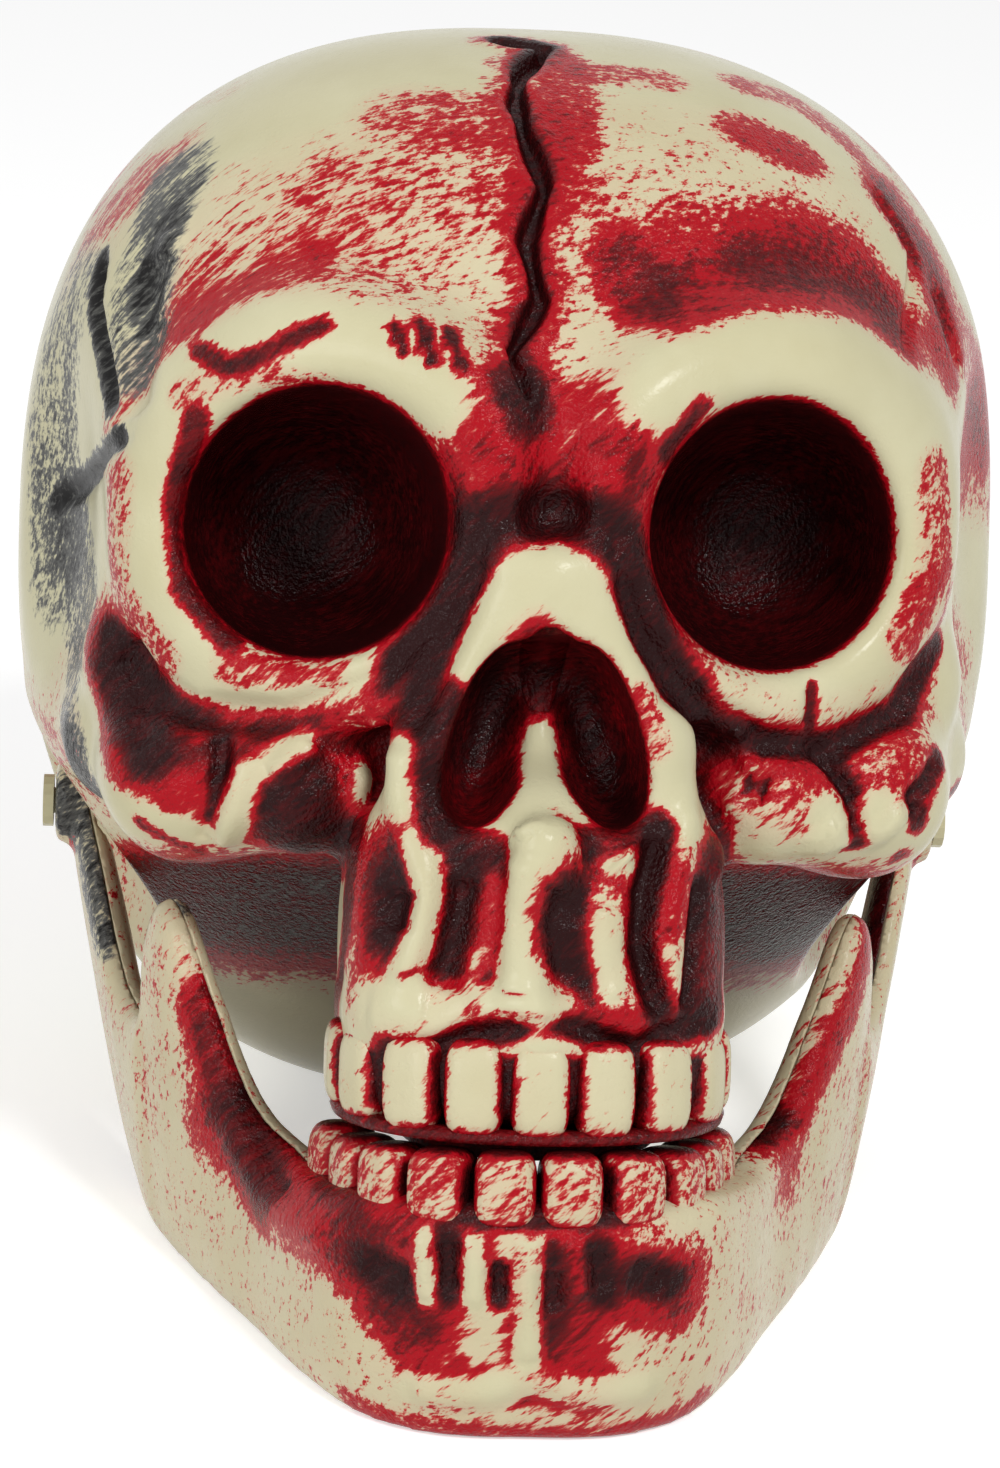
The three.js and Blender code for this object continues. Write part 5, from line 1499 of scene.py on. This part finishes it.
# %% Into the frame
def into_frame(target, body, slot, *nodes):
    target.data.transform(drawing_to_frame)
    target.data.shade_smooth()
    target.data.update()
    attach(target, body)
    if nodes:
        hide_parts(*nodes)


into_frame(face_skin, "cranium", "skull_face", "face_shell")
into_frame(back_skin, "cranium", "skull_back", "rear_shell")
into_frame(upper_teeth, "cranium", "skull_face")
into_frame(ledge, "cranium", "skull_face")
into_frame(jaw_front, "jaw", "jaw_face", "jaw_outer_shell")
into_frame(jaw_rear, "jaw", "jaw_back", "jaw_inner_shell")
into_frame(lower_teeth, "jaw", "jaw_face")

plain = painted_plastic("pin plastic")
pins = [frame["nodes"][kind + side] for kind in ("hinge_pin", "pin_cap") for side in ("_right", "_left")]
for pin in pins:
    pin.data.materials.clear()
    pin.data.materials.append(plain)
print("plain plastic on", ", ".join(pin.name for pin in pins))

# %% [markdown]
# The skull lies on a pale floor. A wide floor and a white world show as plain white to the camera and
# in the gloss, and the floor still takes the shadow.

# %% Floor, world and lamps
FLOOR_LIFT, WORLD_LIGHT, FLOOR_PALE, FLOOR_SIZE = 0.44, 0.46, 0.9, 6.0
WHITE = (1.0, 1.0, 1.0, 1.0)
HEART = (0.0, 0.0, 0.08)
LAMPS = {"key": ((0.45, -1.0, 1.1), 0.3, 10.5), "fill": ((-0.9, -0.9, 0.6), 0.6, 6.0)}


def background_rays(nodes, links):
    """1 where the camera, a reflection or a view through glass looks, and 0 for the light itself."""
    path = nodes.new("ShaderNodeLightPath")
    total = path.outputs["Is Camera Ray"]
    for name in ("Is Glossy Ray", "Is Transmission Ray"):
        larger = nodes.new("ShaderNodeMath")
        larger.operation = "MAXIMUM"
        links.new(total, larger.inputs[0])
        links.new(path.outputs[name], larger.inputs[1])
        total = larger.outputs[0]
    return total


bm = bmesh.new()
bmesh.ops.create_grid(bm, x_segments=1, y_segments=1, size=FLOOR_SIZE)
floor = as_object("floor", bm)
floor_paint = bpy.data.materials.new("floor")
floor_paint.use_nodes = True
nodes, links = floor_paint.node_tree.nodes, floor_paint.node_tree.links
surface = nodes["Principled BSDF"].inputs
surface["Base Color"].default_value = (FLOOR_PALE, FLOOR_PALE, FLOOR_PALE, 1.0)
surface["Roughness"].default_value = 1.0
surface["Specular IOR Level"].default_value = 0.0
surface["Emission Color"].default_value = WHITE
lift = nodes.new("ShaderNodeMath")
lift.operation = "MULTIPLY"
lift.inputs[1].default_value = FLOOR_LIFT
links.new(background_rays(nodes, links), lift.inputs[0])
links.new(lift.outputs[0], surface["Emission Strength"])
floor.data.materials.append(floor_paint)

world = bpy.data.worlds.new("studio")
bpy.context.scene.world = world
world.use_nodes = True
nodes, links = world.node_tree.nodes, world.node_tree.links
nodes["Background"].inputs["Color"].default_value = WHITE
strength = nodes.new("ShaderNodeMath")
strength.operation = "MULTIPLY_ADD"
strength.inputs[1].default_value, strength.inputs[2].default_value = 1.0 - WORLD_LIGHT, WORLD_LIGHT
links.new(background_rays(nodes, links), strength.inputs[0])
links.new(strength.outputs[0], nodes["Background"].inputs["Strength"])

for name, (place, size, watts) in LAMPS.items():
    data = bpy.data.lights.new(name, "AREA")
    data.shape, data.size, data.energy = "DISK", size, watts
    lamp = bpy.data.objects.new(name, data)
    lamp.location = place
    lamp.rotation_euler = (Vector(HEART) - Vector(place)).to_track_quat("-Z", "Y").to_euler()
    bpy.context.scene.collection.objects.link(lamp)
print("lamps:", ", ".join(LAMPS))

# %% [markdown]
# The photograph is taken from a little to the left and square to the leaning face, from 65 cm. The
# camera is built from the same turn, roll and distance that placed the picture points.

# %% Camera
LENS, SENSOR = 102.95, 36.0
aim = drawing_to_frame @ Vector((0.0, 0.0, 0.0))
look = (lean_turn.to_3x3() @ Vector(to_head)).normalized()
up = lean_turn.to_3x3() @ Vector((0.0, 0.0, 1.0))
side = look.cross(up).normalized()
camera_data = bpy.data.cameras.new("camera")
camera_data.lens, camera_data.sensor_width, camera_data.sensor_fit = LENS, SENSOR, "AUTO"
camera = bpy.data.objects.new("camera", camera_data)
turn = Matrix((side, side.cross(look), -look)).transposed() @ Matrix.Rotation(CAMERA_ROLL, 3, "Z")
camera.matrix_world = Matrix.Translation(aim - look * CAMERA_AWAY * MM) @ turn.to_4x4()
bpy.context.scene.collection.objects.link(camera)
bpy.context.scene.camera = camera
bpy.context.scene.view_settings.view_transform = "Standard"
print("camera at", [round(v, 3) for v in camera.matrix_world.translation])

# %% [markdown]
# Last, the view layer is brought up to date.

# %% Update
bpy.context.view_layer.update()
